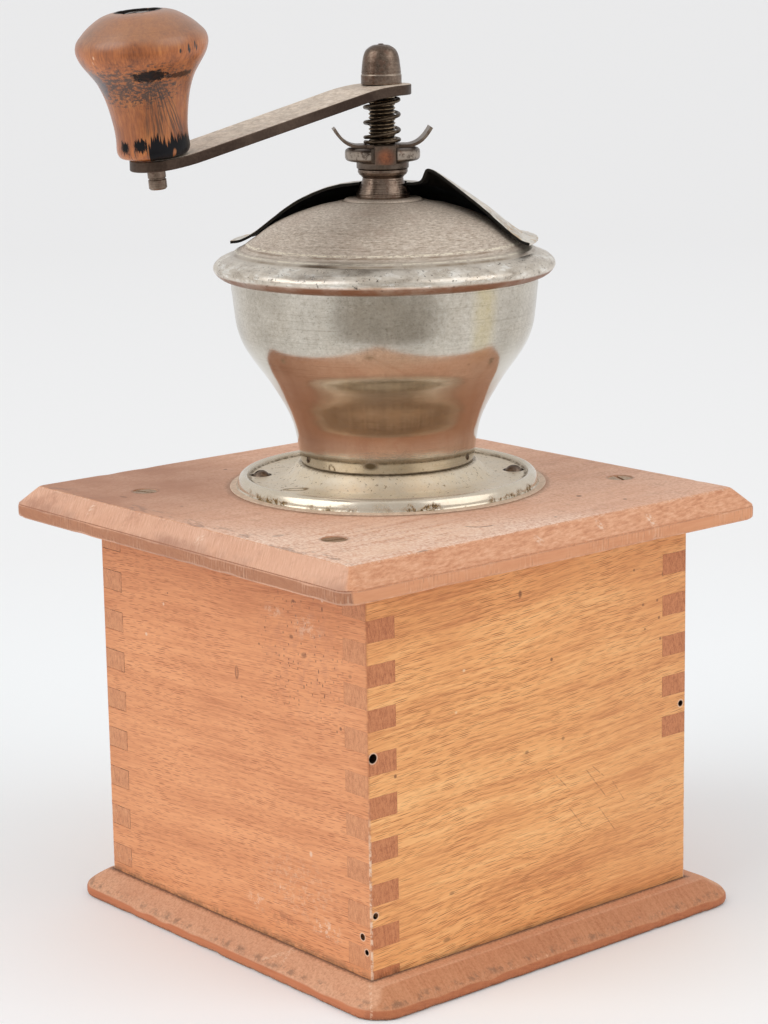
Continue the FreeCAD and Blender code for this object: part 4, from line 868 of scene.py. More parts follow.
def flange_extra(w, P, c, col, r, met, h):
    """Plated flange: yellowed ring with brown pits, bright bead with rust along its lower edge, dull brim."""
    x, y, z = c
    rr = w.radius(c)
    a = w.heading(c)
    ann = w.step(rr, 42.2, 41.2)
    n = w.noise(w.vm("SCALE", P, s=0.30), detail=5.0, rough=0.75)
    n2 = w.noise(w.vm("SCALE", P, s=0.8), detail=4.0, rough=0.72)
    n3 = w.noise(w.vm("SCALE", P, s=2.4), detail=2.0, rough=0.6)
    # yellow tarnish on the ring
    col = w.mix(w.mul(ann, w.lerp(w.step(n, 0.36, 0.64), 0.2, 0.6)), col, lin(226, 206, 174))
    met = w.inv(w.lerp(ann, 0.30, 0.55))
    r = w.add(r, w.mul(ann, 0.16))
    # brown pits and curls on the ring
    pit = w.mul(ann, w.m("MAXIMUM", w.mul(w.step(n2, 0.60, 0.65), 0.75), w.mul(w.step(n3, 0.64, 0.70), 0.6)))
    # an oval dent outlined in brown
    ex, ey = polar(34.2, VIEW_A - 52.0)
    du, dv = w.m("SUBTRACT", x, ex), w.m("SUBTRACT", y, ey)
    t1 = w.add(w.mul(du, 0.707), w.mul(dv, 0.707))
    t2 = w.add(w.mul(du, -0.707), w.mul(dv, 0.707))
    q = w.m("SQRT", w.add(w.m("POWER", w.mul(t1, 1.0 / 3.4), 2.0), w.m("POWER", w.mul(t2, 1.0 / 1.7), 2.0)))
    dent = w.mul(w.step(w.m("ABSOLUTE", w.m("SUBTRACT", q, 0.9)), 0.34, 0.1), w.step(n2, 0.34, 0.5))
    # rust creeping up the lower edge of the bead
    bead = w.mul(w.step(rr, 42.8, 43.6), w.step(rr, 45.6, 45.2))
    edge = w.mul(bead, w.step(z, ZT + 3.4, ZT + 0.9))
    rag = w.noise(w.comb(w.mul(a, 0.10), 0.0, w.mul(z, 0.06)), detail=4.0, rough=0.7)
    gate = w.step(w.noise(w.comb(w.mul(a, 0.05), 6.0, 0.0), detail=2.0), 0.45, 0.55)
    creep = w.mul(w.mul(w.mul(bead, w.step(w.m("SUBTRACT", z, w.add(ZT - 2.6, w.mul(rag, 9.0))), 0.5, -0.5)), w.step(n2, 0.40, 0.54)), gate)
    rust = w.most([pit, w.mul(dent, 0.85), creep, w.mul(edge, w.step(n, 0.60, 0.66))])
    rustc = w.ramp(n3, [(0.35, lin(66, 50, 30)), (0.55, lin(128, 98, 52)), (0.68, lin(176, 150, 98))])
    col = w.mix(rust, col, rustc)
    r = w.lerp(rust, r, 0.8)
    met = w.mul(met, w.inv(w.mul(rust, 0.9)))
    groove = w.mul(w.step(w.m("ABSOLUTE", w.m("SUBTRACT", rr, 41.2)), 0.8, 0.15), w.lerp(w.step(n2, 0.40, 0.56), 0.25, 0.85))
    col = w.mix(groove, col, lin(98, 80, 52))
    r = w.lerp(groove, r, 0.6)
    neck = w.mul(w.step(rr, 26.9, 26.2), w.lerp(w.step(n2, 0.35, 0.55), 0.3, 0.75))
    col = w.mix(neck, col, lin(104, 84, 54))
    # painted shade in the holes of the screws: dark inside
    hole = w.most([w.ellipse(x, y, *polar(38.0, g), 3.25, 3.25, 0.06) for g in (47.5, 235.0)])
    col = w.mix(w.mul(hole, 0.75), col, lin(66, 52, 40))
    # brim: thin and dull
    brim = w.step(rr, 45.25, 45.5)
    col = w.mix(w.mul(brim, 0.85), col, w.ramp(n2, [(0.38, lin(190, 160, 134)), (0.62, lin(220, 190, 164))]))
    r = w.lerp(brim, r, 0.6)
    met = w.mul(met, w.inv(w.mul(brim, 0.9)))
    return col, r, met, w.add(h, w.mul(rust, -1.0))


def dome_extra(w, P, c, col, r, met, h):
    """Cover: dusty dull crown with speckle and rust freckles, rim with painted highlight patches, pale scuffs and black
    pits, painted reflection of the wood as a brown strip under it.
    """
    x, y, z = c
    rr = w.radius(c)
    a = w.heading(c)
    crown = w.mul(w.step(rr, 45.2, 40.5), w.step(z, 196.6, 198.0))
    fleck = w.noise(w.vm("SCALE", P, s=1.5), detail=4.0, rough=0.78)
    mott = w.noise(w.vm("SCALE", P, s=0.10), detail=4.0, rough=0.6)
    # grain left by turning runs round the cover
    spun = w.noise(w.comb(w.mul(a, 0.42), w.mul(rr, 1.5), w.mul(z, 1.5)), detail=4.0, rough=0.78)
    spun2 = w.noise(w.comb(w.mul(a, 0.16), w.mul(rr, 2.4), w.mul(z, 2.4)), detail=3.0, rough=0.7)
    dustc = w.ramp(spun, [(0.34, lin(158, 138, 120)), (0.50, lin(202, 184, 166)), (0.66, lin(232, 220, 206))])
    dustc = w.mix(w.mul(w.step(mott, 0.48, 0.66), 0.4), dustc, lin(188, 164, 146))
    amount = w.mul(crown, w.lerp(w.step(fleck, 0.34, 0.60), 0.60, 0.92))
    col = w.mix(amount, col, dustc)
    met = w.inv(w.mul(amount, 0.70))
    r = w.lerp(crown, r, 0.50)
    speck = w.mul(crown, w.step(spun2, 0.55, 0.66))
    col = w.mix(w.mul(speck, 0.42), col, lin(126, 106, 90))
    light = w.mul(crown, w.step(spun2, 0.45, 0.35))
    col = w.mix(w.mul(light, 0.40), col, lin(240, 230, 218))
    rust = w.mul(crown, w.step(w.noise(w.vm("SCALE", P, s=0.8), detail=4.0, rough=0.8), 0.63, 0.70))
    col = w.mix(w.mul(rust, 0.4), col, lin(176, 122, 92))
    rimb = w.mul(w.step(rr, 44.5, 46.5), w.step(z, 192.2, 193.0))
    smut_and_highlight = w.noise(w.comb(w.mul(a, 0.10), 4.0, w.mul(z, 0.42)), detail=5.0, rough=0.72)
    col = w.mix(w.mul(w.mul(rimb, w.step(smut_and_highlight, 0.52, 0.68)), 0.55), col, lin(146, 132, 118))
    # painted highlight: white patches on the rim
    col = w.mix(w.mul(w.mul(rimb, w.step(smut_and_highlight, 0.50, 0.36)), 0.8), col, lin(250, 246, 238))
    pits = w.mul(rimb, w.step(w.noise(w.vm("SCALE", P, s=0.75), detail=4.0, rough=0.78), 0.595, 0.645))
    col = w.mix(w.mul(pits, 0.85), col, lin(62, 52, 45))
    r = w.lerp(pits, r, 0.8)
    scuff = w.mul(rimb, w.step(w.noise(w.comb(w.mul(a, 0.09), 0.0, w.mul(z, 0.3)), detail=4.0, rough=0.7), 0.42, 0.62))
    r = w.add(r, w.mul(scuff, 0.16))
    col = w.mix(w.mul(scuff, 0.4), col, lin(250, 244, 234))
    met = w.mul(met, w.inv(w.mul(rimb, 0.2)))
    # dirt in the ledges
    gro = w.most([w.step(w.m("ABSOLUTE", w.m("SUBTRACT", rr, 44.4)), 0.55, 0.1), w.step(w.m("ABSOLUTE", w.m("SUBTRACT", rr, 41.1)), 0.5, 0.1),
                  w.mul(w.step(w.m("ABSOLUTE", w.m("SUBTRACT", rr, 42.6)), 0.4, 0.1), 0.6)])
    gro = w.mul(w.mul(gro, w.step(z, 197.0, 198.2)), w.lerp(w.step(mott, 0.4, 0.6), 0.15, 0.6))
    col = w.mix(gro, col, lin(128, 104, 78))
    # painted highlight: bright lines along the crests of the ledges
    crest_highlight = w.most([w.step(w.m("ABSOLUTE", w.m("SUBTRACT", rr, 43.5)), 0.45, 0.1), w.step(w.m("ABSOLUTE", w.m("SUBTRACT", rr, 40.3)), 0.5, 0.1)])
    crest_highlight = w.mul(w.mul(crest_highlight, w.step(z, 197.0, 198.2)), w.step(spun, 0.40, 0.56))
    col = w.mix(w.mul(crest_highlight, 0.75), col, lin(248, 238, 214))
    foot = w.mul(w.step(rr, 12.4, 11.2), 0.3)
    col = w.mix(foot, col, lin(134, 116, 100))
    ring = w.mul(w.step(w.m("ABSOLUTE", w.m("SUBTRACT", rr, 11.9)), 0.35, 0.08), 0.6)
    col = w.mix(ring, col, lin(96, 80, 66))
    # painted reflection of the wooden top: orange brown strip on the underside of the rim
    wood_reflection = w.mul(w.step(z, 193.8, 193.1), w.lerp(w.step(mott, 0.3, 0.6), 0.55, 0.95))
    col = w.mix(wood_reflection, col, lin(138, 92, 62))
    met = w.mul(met, w.inv(w.mul(wood_reflection, 0.5)))
    r = w.lerp(wood_reflection, r, 0.5)
    return col, r, met, w.add(h, w.add(w.mul(pits, -1.5), w.mul(w.mul(fleck, crown), 1.0)))


BOWL = metal("nickel_bowl", lin(216, 209, 197), lin(194, 184, 169), 0.10, extra=bowl_extra, var=0.04, brush=0.8)
FLANGE = metal("nickel_flange", lin(234, 224, 208), lin(214, 201, 180), 0.20, extra=flange_extra, var=0.06, brush=0.3)
DOME = metal("nickel_dome", lin(230, 220, 206), lin(196, 184, 168), 0.28, extra=dome_extra, var=0.07, brush=0.3, bump=0.06)


def arm_extra(w, P, c, col, r, met, h):
    """Dust on the upward faces of the arm."""
    N = w.sep(w.normal())
    upn = w.step(N[2], 0.55, 0.85)
    n = w.noise(w.vm("SCALE", P, s=0.16), detail=5.0, rough=0.65)
    k = w.mul(upn, w.lerp(w.step(n, 0.30, 0.62), 0.72, 0.95))
    col = w.mix(k, col, w.ramp(w.noise(w.vm("SCALE", P, s=0.7), detail=4.0, rough=0.7),
                               [(0.36, lin(204, 184, 164)), (0.64, lin(242, 226, 208))]))
    met = w.inv(w.mul(k, 0.75))
    r = w.lerp(k, r, 0.55)
    return col, r, met, h


def turned_extra(w, P, c, col, r, met, h):
    """Browned turned steel: bright worn arrises, reddish patches, light specks."""
    x, y, z = c
    n = w.noise(w.vm("SCALE", P, s=0.45), detail=4.0, rough=0.7)
    red = w.step(n, 0.52, 0.66)
    col = w.mix(w.mul(red, 0.55), col, lin(98, 66, 50))
    met = w.inv(w.mul(red, 0.35))
    sp = w.step(w.noise(w.vm("SCALE", P, s=2.2), detail=3.0, rough=0.7), 0.62, 0.70)
    col = w.mix(w.mul(sp, 0.45), col, lin(186, 172, 158))
    lines = w.noise(w.comb(0.0, 0.0, w.mul(z, 4.5)), detail=2.0)
    col = w.mix(w.mul(w.step(lines, 0.50, 0.62), 0.30), col, lin(58, 48, 42))
    # cap: bright line round its lower band
    cap = w.mul(w.step(w.m("ABSOLUTE", w.m("SUBTRACT", z, ARM_TOP + 2.75)), 0.28, 0.1), w.step(n, 0.30, 0.44))
    col = w.mix(w.mul(cap, 0.35), col, lin(206, 192, 176))
    return col, w.add(r, w.mul(red, 0.16)), met, w.add(h, w.mul(lines, 0.8))


def nut_extra(w, P, c, col, r, met, h):
    """Adjusting nut: lobes rubbed bright in the middle of their faces."""
    x, y, z = c
    rr = w.radius(c)
    n = w.noise(w.vm("SCALE", P, s=0.7), detail=4.0, rough=0.7)
    face = w.mul(w.mul(w.step(rr, 10.4, 10.85), w.step(w.m("ABSOLUTE", w.m("SUBTRACT", z, 226.9)), 1.5, 0.7)), w.step(n, 0.36, 0.52))
    col = w.mix(w.mul(face, 0.7), col, lin(176, 162, 148))
    red = w.step(w.noise(w.vm("SCALE", P, s=0.5), detail=4.0, rough=0.7), 0.54, 0.66)
    col = w.mix(w.mul(w.mul(red, w.inv(face)), 0.5), col, lin(96, 66, 50))
    return col, w.lerp(face, r, 0.34), met, h


STEEL_L, STEEL_D = lin(160, 140, 124), lin(82, 67, 57)
DARK = metal("dark_steel", STEEL_L, STEEL_D, 0.30, extra=turned_extra, var=0.08, bump=0.05)
NUTM = metal("nut_steel", lin(126, 112, 100), lin(76, 64, 56), 0.38, extra=nut_extra, var=0.10, bump=0.05)
ARM = metal("arm_steel", lin(100, 84, 73), lin(66, 53, 46), 0.44, extra=arm_extra, var=0.10, bump=0.05)
SPRINGM = metal("spring_steel", lin(122, 106, 88), lin(66, 55, 45), 0.38, spots=lin(70, 50, 34), spot_amt=0.5, var=0.1)
SCREW = metal("screw_steel", lin(224, 198, 170), lin(160, 132, 106), 0.48, spots=lin(130, 90, 62), spot_amt=0.5,
              spot_scale=0.6, spot_lo=0.54, var=0.1, bump=0.08)
FSCREW = metal("flange_screw_steel", lin(150, 132, 116), lin(88, 74, 64), 0.45, spots=lin(92, 66, 48), spot_amt=0.6,
               spot_scale=0.6, spot_lo=0.56, var=0.1, bump=0.08)
IRON = metal("burr_iron", lin(96, 92, 88), lin(56, 52, 50), 0.55, spots=lin(70, 50, 36), spot_amt=0.6, spot_scale=0.3,
             spot_lo=0.56, var=0.1, bump=0.12)


def thread_extra(w, P, c, col, r, met, h):
    """Spindle: painted highlight on the thread crests in bronze, painted shade in the roots."""
    rr = w.radius(c)
    z = c[2]
    thread = w.step(z, 222.0, 223.5)
    crest_highlight = w.mul(w.step(rr, 3.72, 3.92), thread)
    root_shade = w.mul(w.step(rr, 3.72, 3.55), thread)
    col = w.mix(w.mul(crest_highlight, 0.75), col, lin(180, 158, 130))
    col = w.mix(w.mul(root_shade, 0.8), col, lin(46, 38, 32))
    return col, w.lerp(root_shade, r, 0.6), met, h


THREADM = metal("thread_steel", lin(128, 112, 94), lin(74, 62, 50), 0.34, extra=thread_extra, var=0.08)


def tab_extra(w, P, c, col, r, met, h):
    """Latch: rusty in the middle of its turned down tab, rubbed bright on the wings."""
    x, y, z = c
    ox, oy = polar(10.4, 144.5)
    d = w.vm("DISTANCE", P, (ox, oy, 226.6))
    n = w.noise(w.vm("SCALE", P, s=0.6), detail=4.0, rough=0.7)
    k = w.step(w.add(d, w.mul(w.m("SUBTRACT", n, 0.5), 4.0)), 3.6, 0.8)
    rust = w.ramp(n, [(0.36, lin(104, 58, 36)), (0.62, lin(168, 98, 58))])
    col = w.mix(w.mul(k, 0.85), col, rust)
    r = w.lerp(k, r, 0.7)
    met = w.inv(w.mul(k, 0.8))
    wing = w.mul(w.step(z, 230.4, 232.0), w.step(n, 0.34, 0.54))
    col = w.mix(w.mul(wing, 0.45), col, lin(182, 168, 152))
    return col, r, met, h


PLATE = metal("latch_steel", lin(134, 116, 102), lin(80, 66, 56), 0.40, extra=tab_extra, var=0.10, bump=0.05)


def door_top_extra(w, P, c, col, r, met, h):
    """Door outside: flaking light grey plating, yellow and rusty towards its rim."""
    rr = w.radius(c)
    n = w.noise(w.vm("SCALE", P, s=0.22), detail=5.0, rough=0.72)
    fl = w.step(n, 0.44, 0.52)
    col = w.mix(w.mul(fl, 0.75), col, lin(228, 222, 212))
    f2 = w.step(w.noise(w.vm("SCALE", P, s=0.9), detail=4.0, rough=0.75), 0.56, 0.62)
    col = w.mix(w.mul(f2, 0.45), col, lin(132, 120, 104))
    ye = w.mul(w.step(w.noise(w.vm("SCALE", P, s=0.30), detail=4.0, rough=0.72), 0.52, 0.60), w.lerp(w.step(rr, 24.0, 40.0), 0.25, 1.0))
    col = w.mix(w.mul(ye, 0.7), col, lin(178, 140, 84))
    r = w.lerp(fl, r, 0.5)
    met = w.inv(w.lerp(w.m("MAXIMUM", fl, ye), 0.55, 0.9))
    return col, r, met, w.add(h, fl)


DOOR_OUT = metal("door_outside", lin(226, 220, 210), lin(190, 182, 170), 0.42, extra=door_top_extra, var=0.08, bump=0.06)


def black_inside():
    w = Mat("door_inside")
    P = w.mm()
    n = w.noise(w.vm("SCALE", P, s=0.25), detail=4.0, rough=0.65)
    f = w.noise(w.vm("SCALE", P, s=1.8), detail=3.0)
    w.set("Base Color", w.ramp(w.add(w.mul(n, 0.7), w.mul(f, 0.3)), [(0.40, lin(18, 16, 12)), (0.66, lin(42, 36, 28))]))
    w.set("Roughness", w.lerp(n, 0.55, 0.8))
    w.set("Specular IOR Level", 0.2)
    w.set("Normal", w.bump(f, 0.05, 0.5))
    return w.mat


DOOR_IN = black_inside()


def knob_material():
    """Turned handle: worn orange wood with remnants of black lacquer. Its own frame is stored on the mesh in millimetres:
    across, towards the worn side, and up the pin from the arm."""
    w = Mat("knob_wood")
    L = w.attr("on_pin")
    x, y, z = w.sep(L)
    phi = w.mul(w.m("ARCTAN2", x, y), 57.29578)
    fib = w.noise(w.comb(w.mul(x, 1.3), w.mul(y, 1.3), w.mul(z, 0.10)), detail=4.0, rough=0.65)
    hair = w.noise(w.comb(w.mul(x, 4.0), w.mul(y, 4.0), w.mul(z, 0.25)), detail=2.0, rough=0.6)
    blot = w.noise(w.vm("SCALE", L, s=0.12), detail=3.0)
    tone = w.add(w.add(w.mul(fib, 0.5), w.mul(hair, 0.2)), w.mul(blot, 0.5))
    col = w.ramp(tone, [(0.44, lin(120, 60, 23)), (0.60, lin(176, 98, 42)), (0.78, lin(210, 131, 62))])
    # greyer crown, partly dust and partly painted sheen, with rings left by turning
    crown = w.step(w.add(z, w.mul(w.m("SUBTRACT", blot, 0.5), 5.0)), 29.0, 34.0)
    cl = w.noise(w.vm("SCALE", L, s=0.16), detail=4.0, rough=0.6)
    col = w.mix(w.mul(crown, w.lerp(cl, 0.45, 0.85)), col, lin(152, 116, 92))
    rings = w.noise(w.comb(0.0, 0.0, w.mul(z, 2.2)), detail=3.0, rough=0.7)
    col = w.mix(w.mul(w.mul(crown, w.step(rings, 0.52, 0.66)), 0.28), col, lin(112, 78, 56))
    worn = w.mul(w.step(w.m("ABSOLUTE", w.m("SUBTRACT", z, 26.5)), 3.0, 1.0), w.step(blot, 0.40, 0.60))
    col = w.mix(w.mul(worn, 0.35), col, lin(190, 104, 44))
    # fan of dark streaks spreading down from the black patch on the worn side, thinner ones round the rest
    fu = w.m("DIVIDE", w.m("SUBTRACT", phi, 3.0), w.m("MAXIMUM", w.add(0.30, w.mul(w.m("SUBTRACT", 23.0, z), 0.075)), 0.2))
    st = w.noise(w.comb(w.mul(fu, 0.36), 0.0, w.mul(z, 0.07)), detail=3.0, rough=0.7)
    st2 = w.noise(w.comb(w.mul(phi, 0.42), 3.0, w.mul(z, 0.06)), detail=2.0, rough=0.6)
    waist = w.mul(w.step(z, 4.5, 9.0), w.step(z, 22.6, 20.5))
    fan = w.mul(w.mul(w.step(fu, -14.0, -3.0), w.step(fu, 46.0, 34.0)), waist)
    streak = w.m("MAXIMUM", w.mul(w.step(st, 0.47, 0.56), fan), w.mul(w.mul(w.step(st2, 0.58, 0.68), waist), 0.6))
    col = w.mix(w.mul(streak, 0.85), col, lin(62, 42, 29))
    # the whole waist a little darker
    col = w.mix(w.mul(w.mul(w.step(z, 3.0, 8.0), w.step(z, 25.0, 20.0)), 0.28), col, lin(118, 70, 40))
    # broken lacquer round the neck: specks drawn out round the handle
    mo = w.noise(w.comb(w.mul(phi, 0.13), 0.0, w.mul(z, 1.25)), detail=5.0, rough=0.8)
    mz = w.mul(w.step(w.m("ABSOLUTE", w.m("SUBTRACT", z, 20.8)), 8.5, 2.0), w.lerp(w.step(w.m("ABSOLUTE", w.m("ADD", phi, 14.0)), 62.0, 26.0), 0.35, 1.0))
    mot = w.mul(w.step(w.add(mo, w.mul(mz, 0.13)), 0.57, 0.65), w.step(mz, 0.05, 0.4))
    col = w.mix(w.mul(mot, 0.85), col, lin(52, 40, 34))
    # solid black patch under the belly, and others round the back
    rag = w.mul(w.m("SUBTRACT", w.noise(w.comb(w.mul(phi, 0.22), 5.0, w.mul(z, 1.5)), detail=5.0, rough=0.75), 0.5), 2.3)
    rag2 = w.mul(w.m("SUBTRACT", w.noise(w.comb(w.mul(phi, 0.42), 9.0, w.mul(z, 0.28)), detail=4.0, rough=0.75), 0.5), 2.6)

    def blob(pc, zc, pw, zw, rough_edge):
        du = w.mul(w.m("SUBTRACT", phi, pc), 1.0 / pw)
        dv = w.mul(w.m("SUBTRACT", z, zc), 1.0 / zw)
        return w.step(w.add(w.m("SQRT", w.add(w.mul(du, du), w.mul(dv, dv))), rough_edge), 1.15, 0.80)

    patch = w.most([blob(5.0, 23.4, 19.0, 1.6, rag), w.mul(blob(44.0, 22.7, 20.0, 0.8, rag), 0.8), blob(120.0, 22.6, 30.0, 1.6, rag),
                    blob(-140.0, 23.0, 26.0, 1.9, rag)])
    grey = w.mul(blob(-66.0, 21.6, 13.0, 4.0, rag), 0.7)
    col = w.mix(grey, col, lin(84, 84, 90))
    # ragged black band at the foot: solid on the right, broken on the left
    spk = w.noise(w.comb(w.mul(phi, 0.30), 7.0, 0.0), detail=3.0, rough=0.75)
    slow = w.noise(w.comb(w.mul(phi, 0.07), 8.0, 0.0), detail=1.0)
    reach = w.add(w.add(2.6, w.mul(slow, 7.0)), w.mul(w.m("SUBTRACT", spk, 0.5), 13.0))
    solid = w.mul(w.step(w.m("SUBTRACT", z, w.m("MAXIMUM", reach, 2.4)), 0.4, -0.4), w.mul(w.step(phi, -9.5, -7.0), w.step(phi, 120.0, 96.0)))
    solid = w.mul(solid, w.inv(w.mul(w.ellipse(phi, z, 34.0, 1.9, 3.0, 1.0, 0.4), 0.8)))
    b1 = blob(-50.0, 4.2, 9.5, 1.7, w.mul(rag2, 1.5))
    b2 = blob(-20.0, 4.5, 11.5, 1.9, w.mul(rag2, 1.5))
    back = w.mul(w.step(w.m("SUBTRACT", z, w.add(-1.0, w.mul(spk, 12.0))), 0.35, -0.35), w.m("MAXIMUM", w.step(phi, 110.0, 124.0), w.step(phi, -96.0, -110.0)))
    back = w.mul(back, w.step(w.noise(w.comb(w.mul(phi, 0.05), 2.0, w.mul(z, 0.1)), detail=2.0), 0.42, 0.52))
    black = w.most([w.mul(patch, 0.95), solid, b1, b2, back])
    col = w.mix(black, col, w.ramp(blot, [(0.35, lin(10, 9, 9)), (0.62, lin(24, 23, 26))]))
    # painted shade: dark ragged recess on top
    rl = w.m("SQRT", w.add(w.mul(x, x), w.mul(y, y)))
    recess_shade = w.mul(w.step(w.add(rl, w.mul(w.m("SUBTRACT", spk, 0.5), 1.6)), 6.9, 6.2), w.step(z, 35.0, 36.0))
    col = w.mix(recess_shade, col, lin(26, 18, 14))
    # dark lines in the rim of the foot, and ticks on the belly
    ln = w.mul(w.mul(w.step(st2, 0.55, 0.60), w.step(z, 4.2, 3.0)), w.inv(solid))
    col = w.mix(w.mul(ln, 0.85), col, lin(58, 36, 24))
    ticks = w.marks(phi, z, ((34.0, 29.2, 1.0, 0.6, 1.0), (43.0, 29.7, 1.0, 1.0, 1.0), (44.5, 28.9, 0.9, 0.7, 1.0), (51.0, 30.2, 0.9, 1.0, 1.0),
                             (53.5, 29.3, 0.9, 0.8, 1.0), (150.0, 29.0, 1.2, 0.9, 1.0), (162.0, 28.2, 1.1, 0.8, 1.0)))
    col = w.mix(ticks, col, lin(22, 17, 14))
    pale = w.marks(phi, z, ((-47.0, 29.3, 0.8, 0.45, 0.9), (-50.0, 27.9, 0.6, 0.4, 0.6)))
    col = w.mix(pale, col, lin(232, 186, 150))
    r = w.add(w.lerp(cl, 0.32, 0.48), w.mul(streak, 0.10))
    r = w.lerp(black, r, 0.36)
    w.set("Base Color", col)
    w.set("Roughness", r)
    w.set("Coat Weight", w.lerp(w.m("MAXIMUM", black, recess_shade), 0.42, 0.04))
    w.set("Coat Roughness", 0.24)
    w.set("Specular IOR Level", w.lerp(w.m("MAXIMUM", black, recess_shade), 0.5, 0.12))
    w.set("Normal", w.bump(w.add(w.mul(hair, 0.5), w.add(w.mul(black, 0.8), w.mul(w.m("MAXIMUM", streak, ticks), -0.8))), 0.12, 0.5))
    return w.mat


KNOB = knob_material()


def pull_material():
    """Drawer pull: the same orange wood, darker in its neck."""
    w = Mat("pull_wood")
    P = w.mm()
    x, y, z = w.sep(P)
    fib = w.noise(w.comb(w.mul(x, 1.2), w.mul(y, 0.12), w.mul(z, 1.2)), detail=4.0, rough=0.65)
    blot = w.noise(w.vm("SCALE", P, s=0.15), detail=3.0)
    col = w.ramp(w.add(w.mul(fib, 0.55), w.mul(blot, 0.5)), [(0.40, lin(196, 120, 62)), (0.56, lin(172, 94, 44)), (0.76, lin(122, 62, 30))])
    neck = w.step(y, -70.5, -66.0)
    col = w.mix(w.mul(neck, 0.55), col, lin(84, 46, 26))
    n = w.noise(w.vm("SCALE", P, s=0.8), detail=4.0, rough=0.7)
    col = w.mix(w.mul(w.step(n, 0.62, 0.68), 0.7), col, lin(44, 30, 22))
    w.set("Base Color", col)
    w.set("Roughness", w.lerp(blot, 0.32, 0.48))
    w.set("Coat Weight", 0.3)
    w.set("Coat Roughness", 0.3)
    w.set("Normal", w.bump(fib, 0.1, 0.5))
    return w.mat


PULL = pull_material()


# --------------------------------------------------------------------- boards
def rrect(cx, cy, hx, hy, r, ns, nc):
    """Points round a rectangle with round corners: ns per side, nc per corner."""
    out = []
    for k, (sx, sy, ux, uy) in enumerate(((-1, -1, 1, 0), (1, -1, 0, 1), (1, 1, -1, 0), (-1, 1, 0, -1))):
        ln = 2 * ((hx if ux else hy) - r)
        p0 = (cx + sx * hx + (r if ux > 0 else -r if ux < 0 else 0), cy + sy * hy + (r if uy > 0 else -r if uy < 0 else 0))
        for i in range(ns):
            t = i / ns * ln
            out.append((p0[0] + ux * t, p0[1] + uy * t))
        e = (p0[0] + ux * ln, p0[1] + uy * ln)
        a0 = math.atan2(uy, ux) - math.pi / 2
        c = (e[0] + r * math.cos(a0 + math.pi), e[1] + r * math.sin(a0 + math.pi))
        for i in range(nc):
            a = a0 + math.pi / 2 * i / nc
            out.append((c[0] + r * math.cos(a), c[1] + r * math.sin(a)))
    return out


def dents(n_pts, step, count, rng, depth, width):
    """Depth of worn dents along a closed edge."""
    d = np.zeros(n_pts)
    s = np.arange(n_pts) * step
    L = n_pts * step
    for _ in range(count):
        c, w, h = rng.uniform(0, L), rng.uniform(*width), rng.uniform(*depth)
        q = np.abs(s - c)
        q = np.minimum(q, L - q)
        d += h * np.exp(-(q / w) ** 2)
    return d


def ring_board(name, cx, cy, hx, hy, r0, r1, rings, bevel, seed, hole=None, wear=(), body="case", slot="top_wood", mat=None,
               replaces=None, cutters=()):
    """Board as a stack of rings (inset, z); wear lists (ring weight centre, amount) for dents."""
    ns, nc = 96, 12
    rng = random.Random(seed)
    n_pts = 4 * (ns + nc)
    step = 4 * (hx + hy) / n_pts
    verts, faces = [], []
    wave = [mnoise.noise(Vector((i * step * 0.03, seed, 0.0))) for i in range(n_pts)]
    all_d = [dents(n_pts, step, c, rng, dep, wid) for (_, c, dep, wid) in wear]
    for k, (d, z) in enumerate(rings):
        rad = max(0.6, r0 + (r1 - r0) * min(1.0, d / bevel) if d < bevel else max(0.6, r1 - (d - bevel) * 0.1))
        pts = rrect(cx, cy, hx - d, hy - d, rad, ns, nc)
        for i, (x, y) in enumerate(pts):
            ins = 0.0
            for (kc, _, _, _), dd in zip(wear, all_d):
                ins += dd[i] * math.exp(-((z - kc) / 0.8) ** 2)
            ins += 0.10 * (0.5 + 0.5 * wave[i]) * (1.0 if d < bevel else 0.0)
            jit = mnoise.noise(Vector((x * 0.35, y * 0.35, z * 0.8 + seed))) * 0.035
            dx, dy = cx - x, cy - y
            q = math.hypot(dx, dy)
            fx = 1.0 if abs(x - cx) > hx - d - rad - 0.01 else 0.0
            fy = 1.0 if abs(y - cy) > hy - d - rad - 0.01 else 0.0
            nx, ny = (math.copysign(fx, dx), math.copysign(fy, dy))
            nn = math.hypot(nx, ny) or 1.0
            verts.append((x + nx / nn * (ins + max(0.0, jit)), y + ny / nn * (ins + max(0.0, jit)),
                          z - (0.4 * ins if z > rings[0][1] + 1.0 else 0.0)))
    nr = len(rings)

    def quads(a, b):
        for i in range(n_pts):
            j = (i + 1) % n_pts
            faces.append((a + i, a + j, b + j, b + i))

    for k in range(nr - 1):
        quads(k * n_pts, (k + 1) * n_pts)
    if hole:
        hx0, hy0, hr = hole
        top, bot = rings[-1][1], rings[0][1]
        last = (nr - 1) * n_pts
        first = 0
        base_pts = [verts[last + i] for i in range(n_pts)]
        steps = 6
        prev = last
        for s in range(1, steps + 1):
            t = s / steps
            start = len(verts)
            for (x, y, z) in base_pts:
                a = math.atan2(y - hy0, x - hx0)
                tx, ty = hx0 + hr * math.cos(a), hy0 + hr * math.sin(a)
                verts.append((x + (tx - x) * t, y + (ty - y) * t, top))
            quads(prev, start)
            prev = start
        start = len(verts)
        for i in range(n_pts):
            v = verts[prev + i]
            verts.append((v[0], v[1], bot))
        quads(prev, start)
        quads(start, first)
    else:
        faces.append(tuple((nr - 1) * n_pts + i for i in range(n_pts)))
        faces.append(tuple(reversed(range(n_pts))))
    me = raw_mesh(name, verts, faces)
    for cv, cf in cutters:
        me = cut_mesh(me, cv, cf)
    return piece_from(name, me, body, slot, mat, replaces, deg=32)


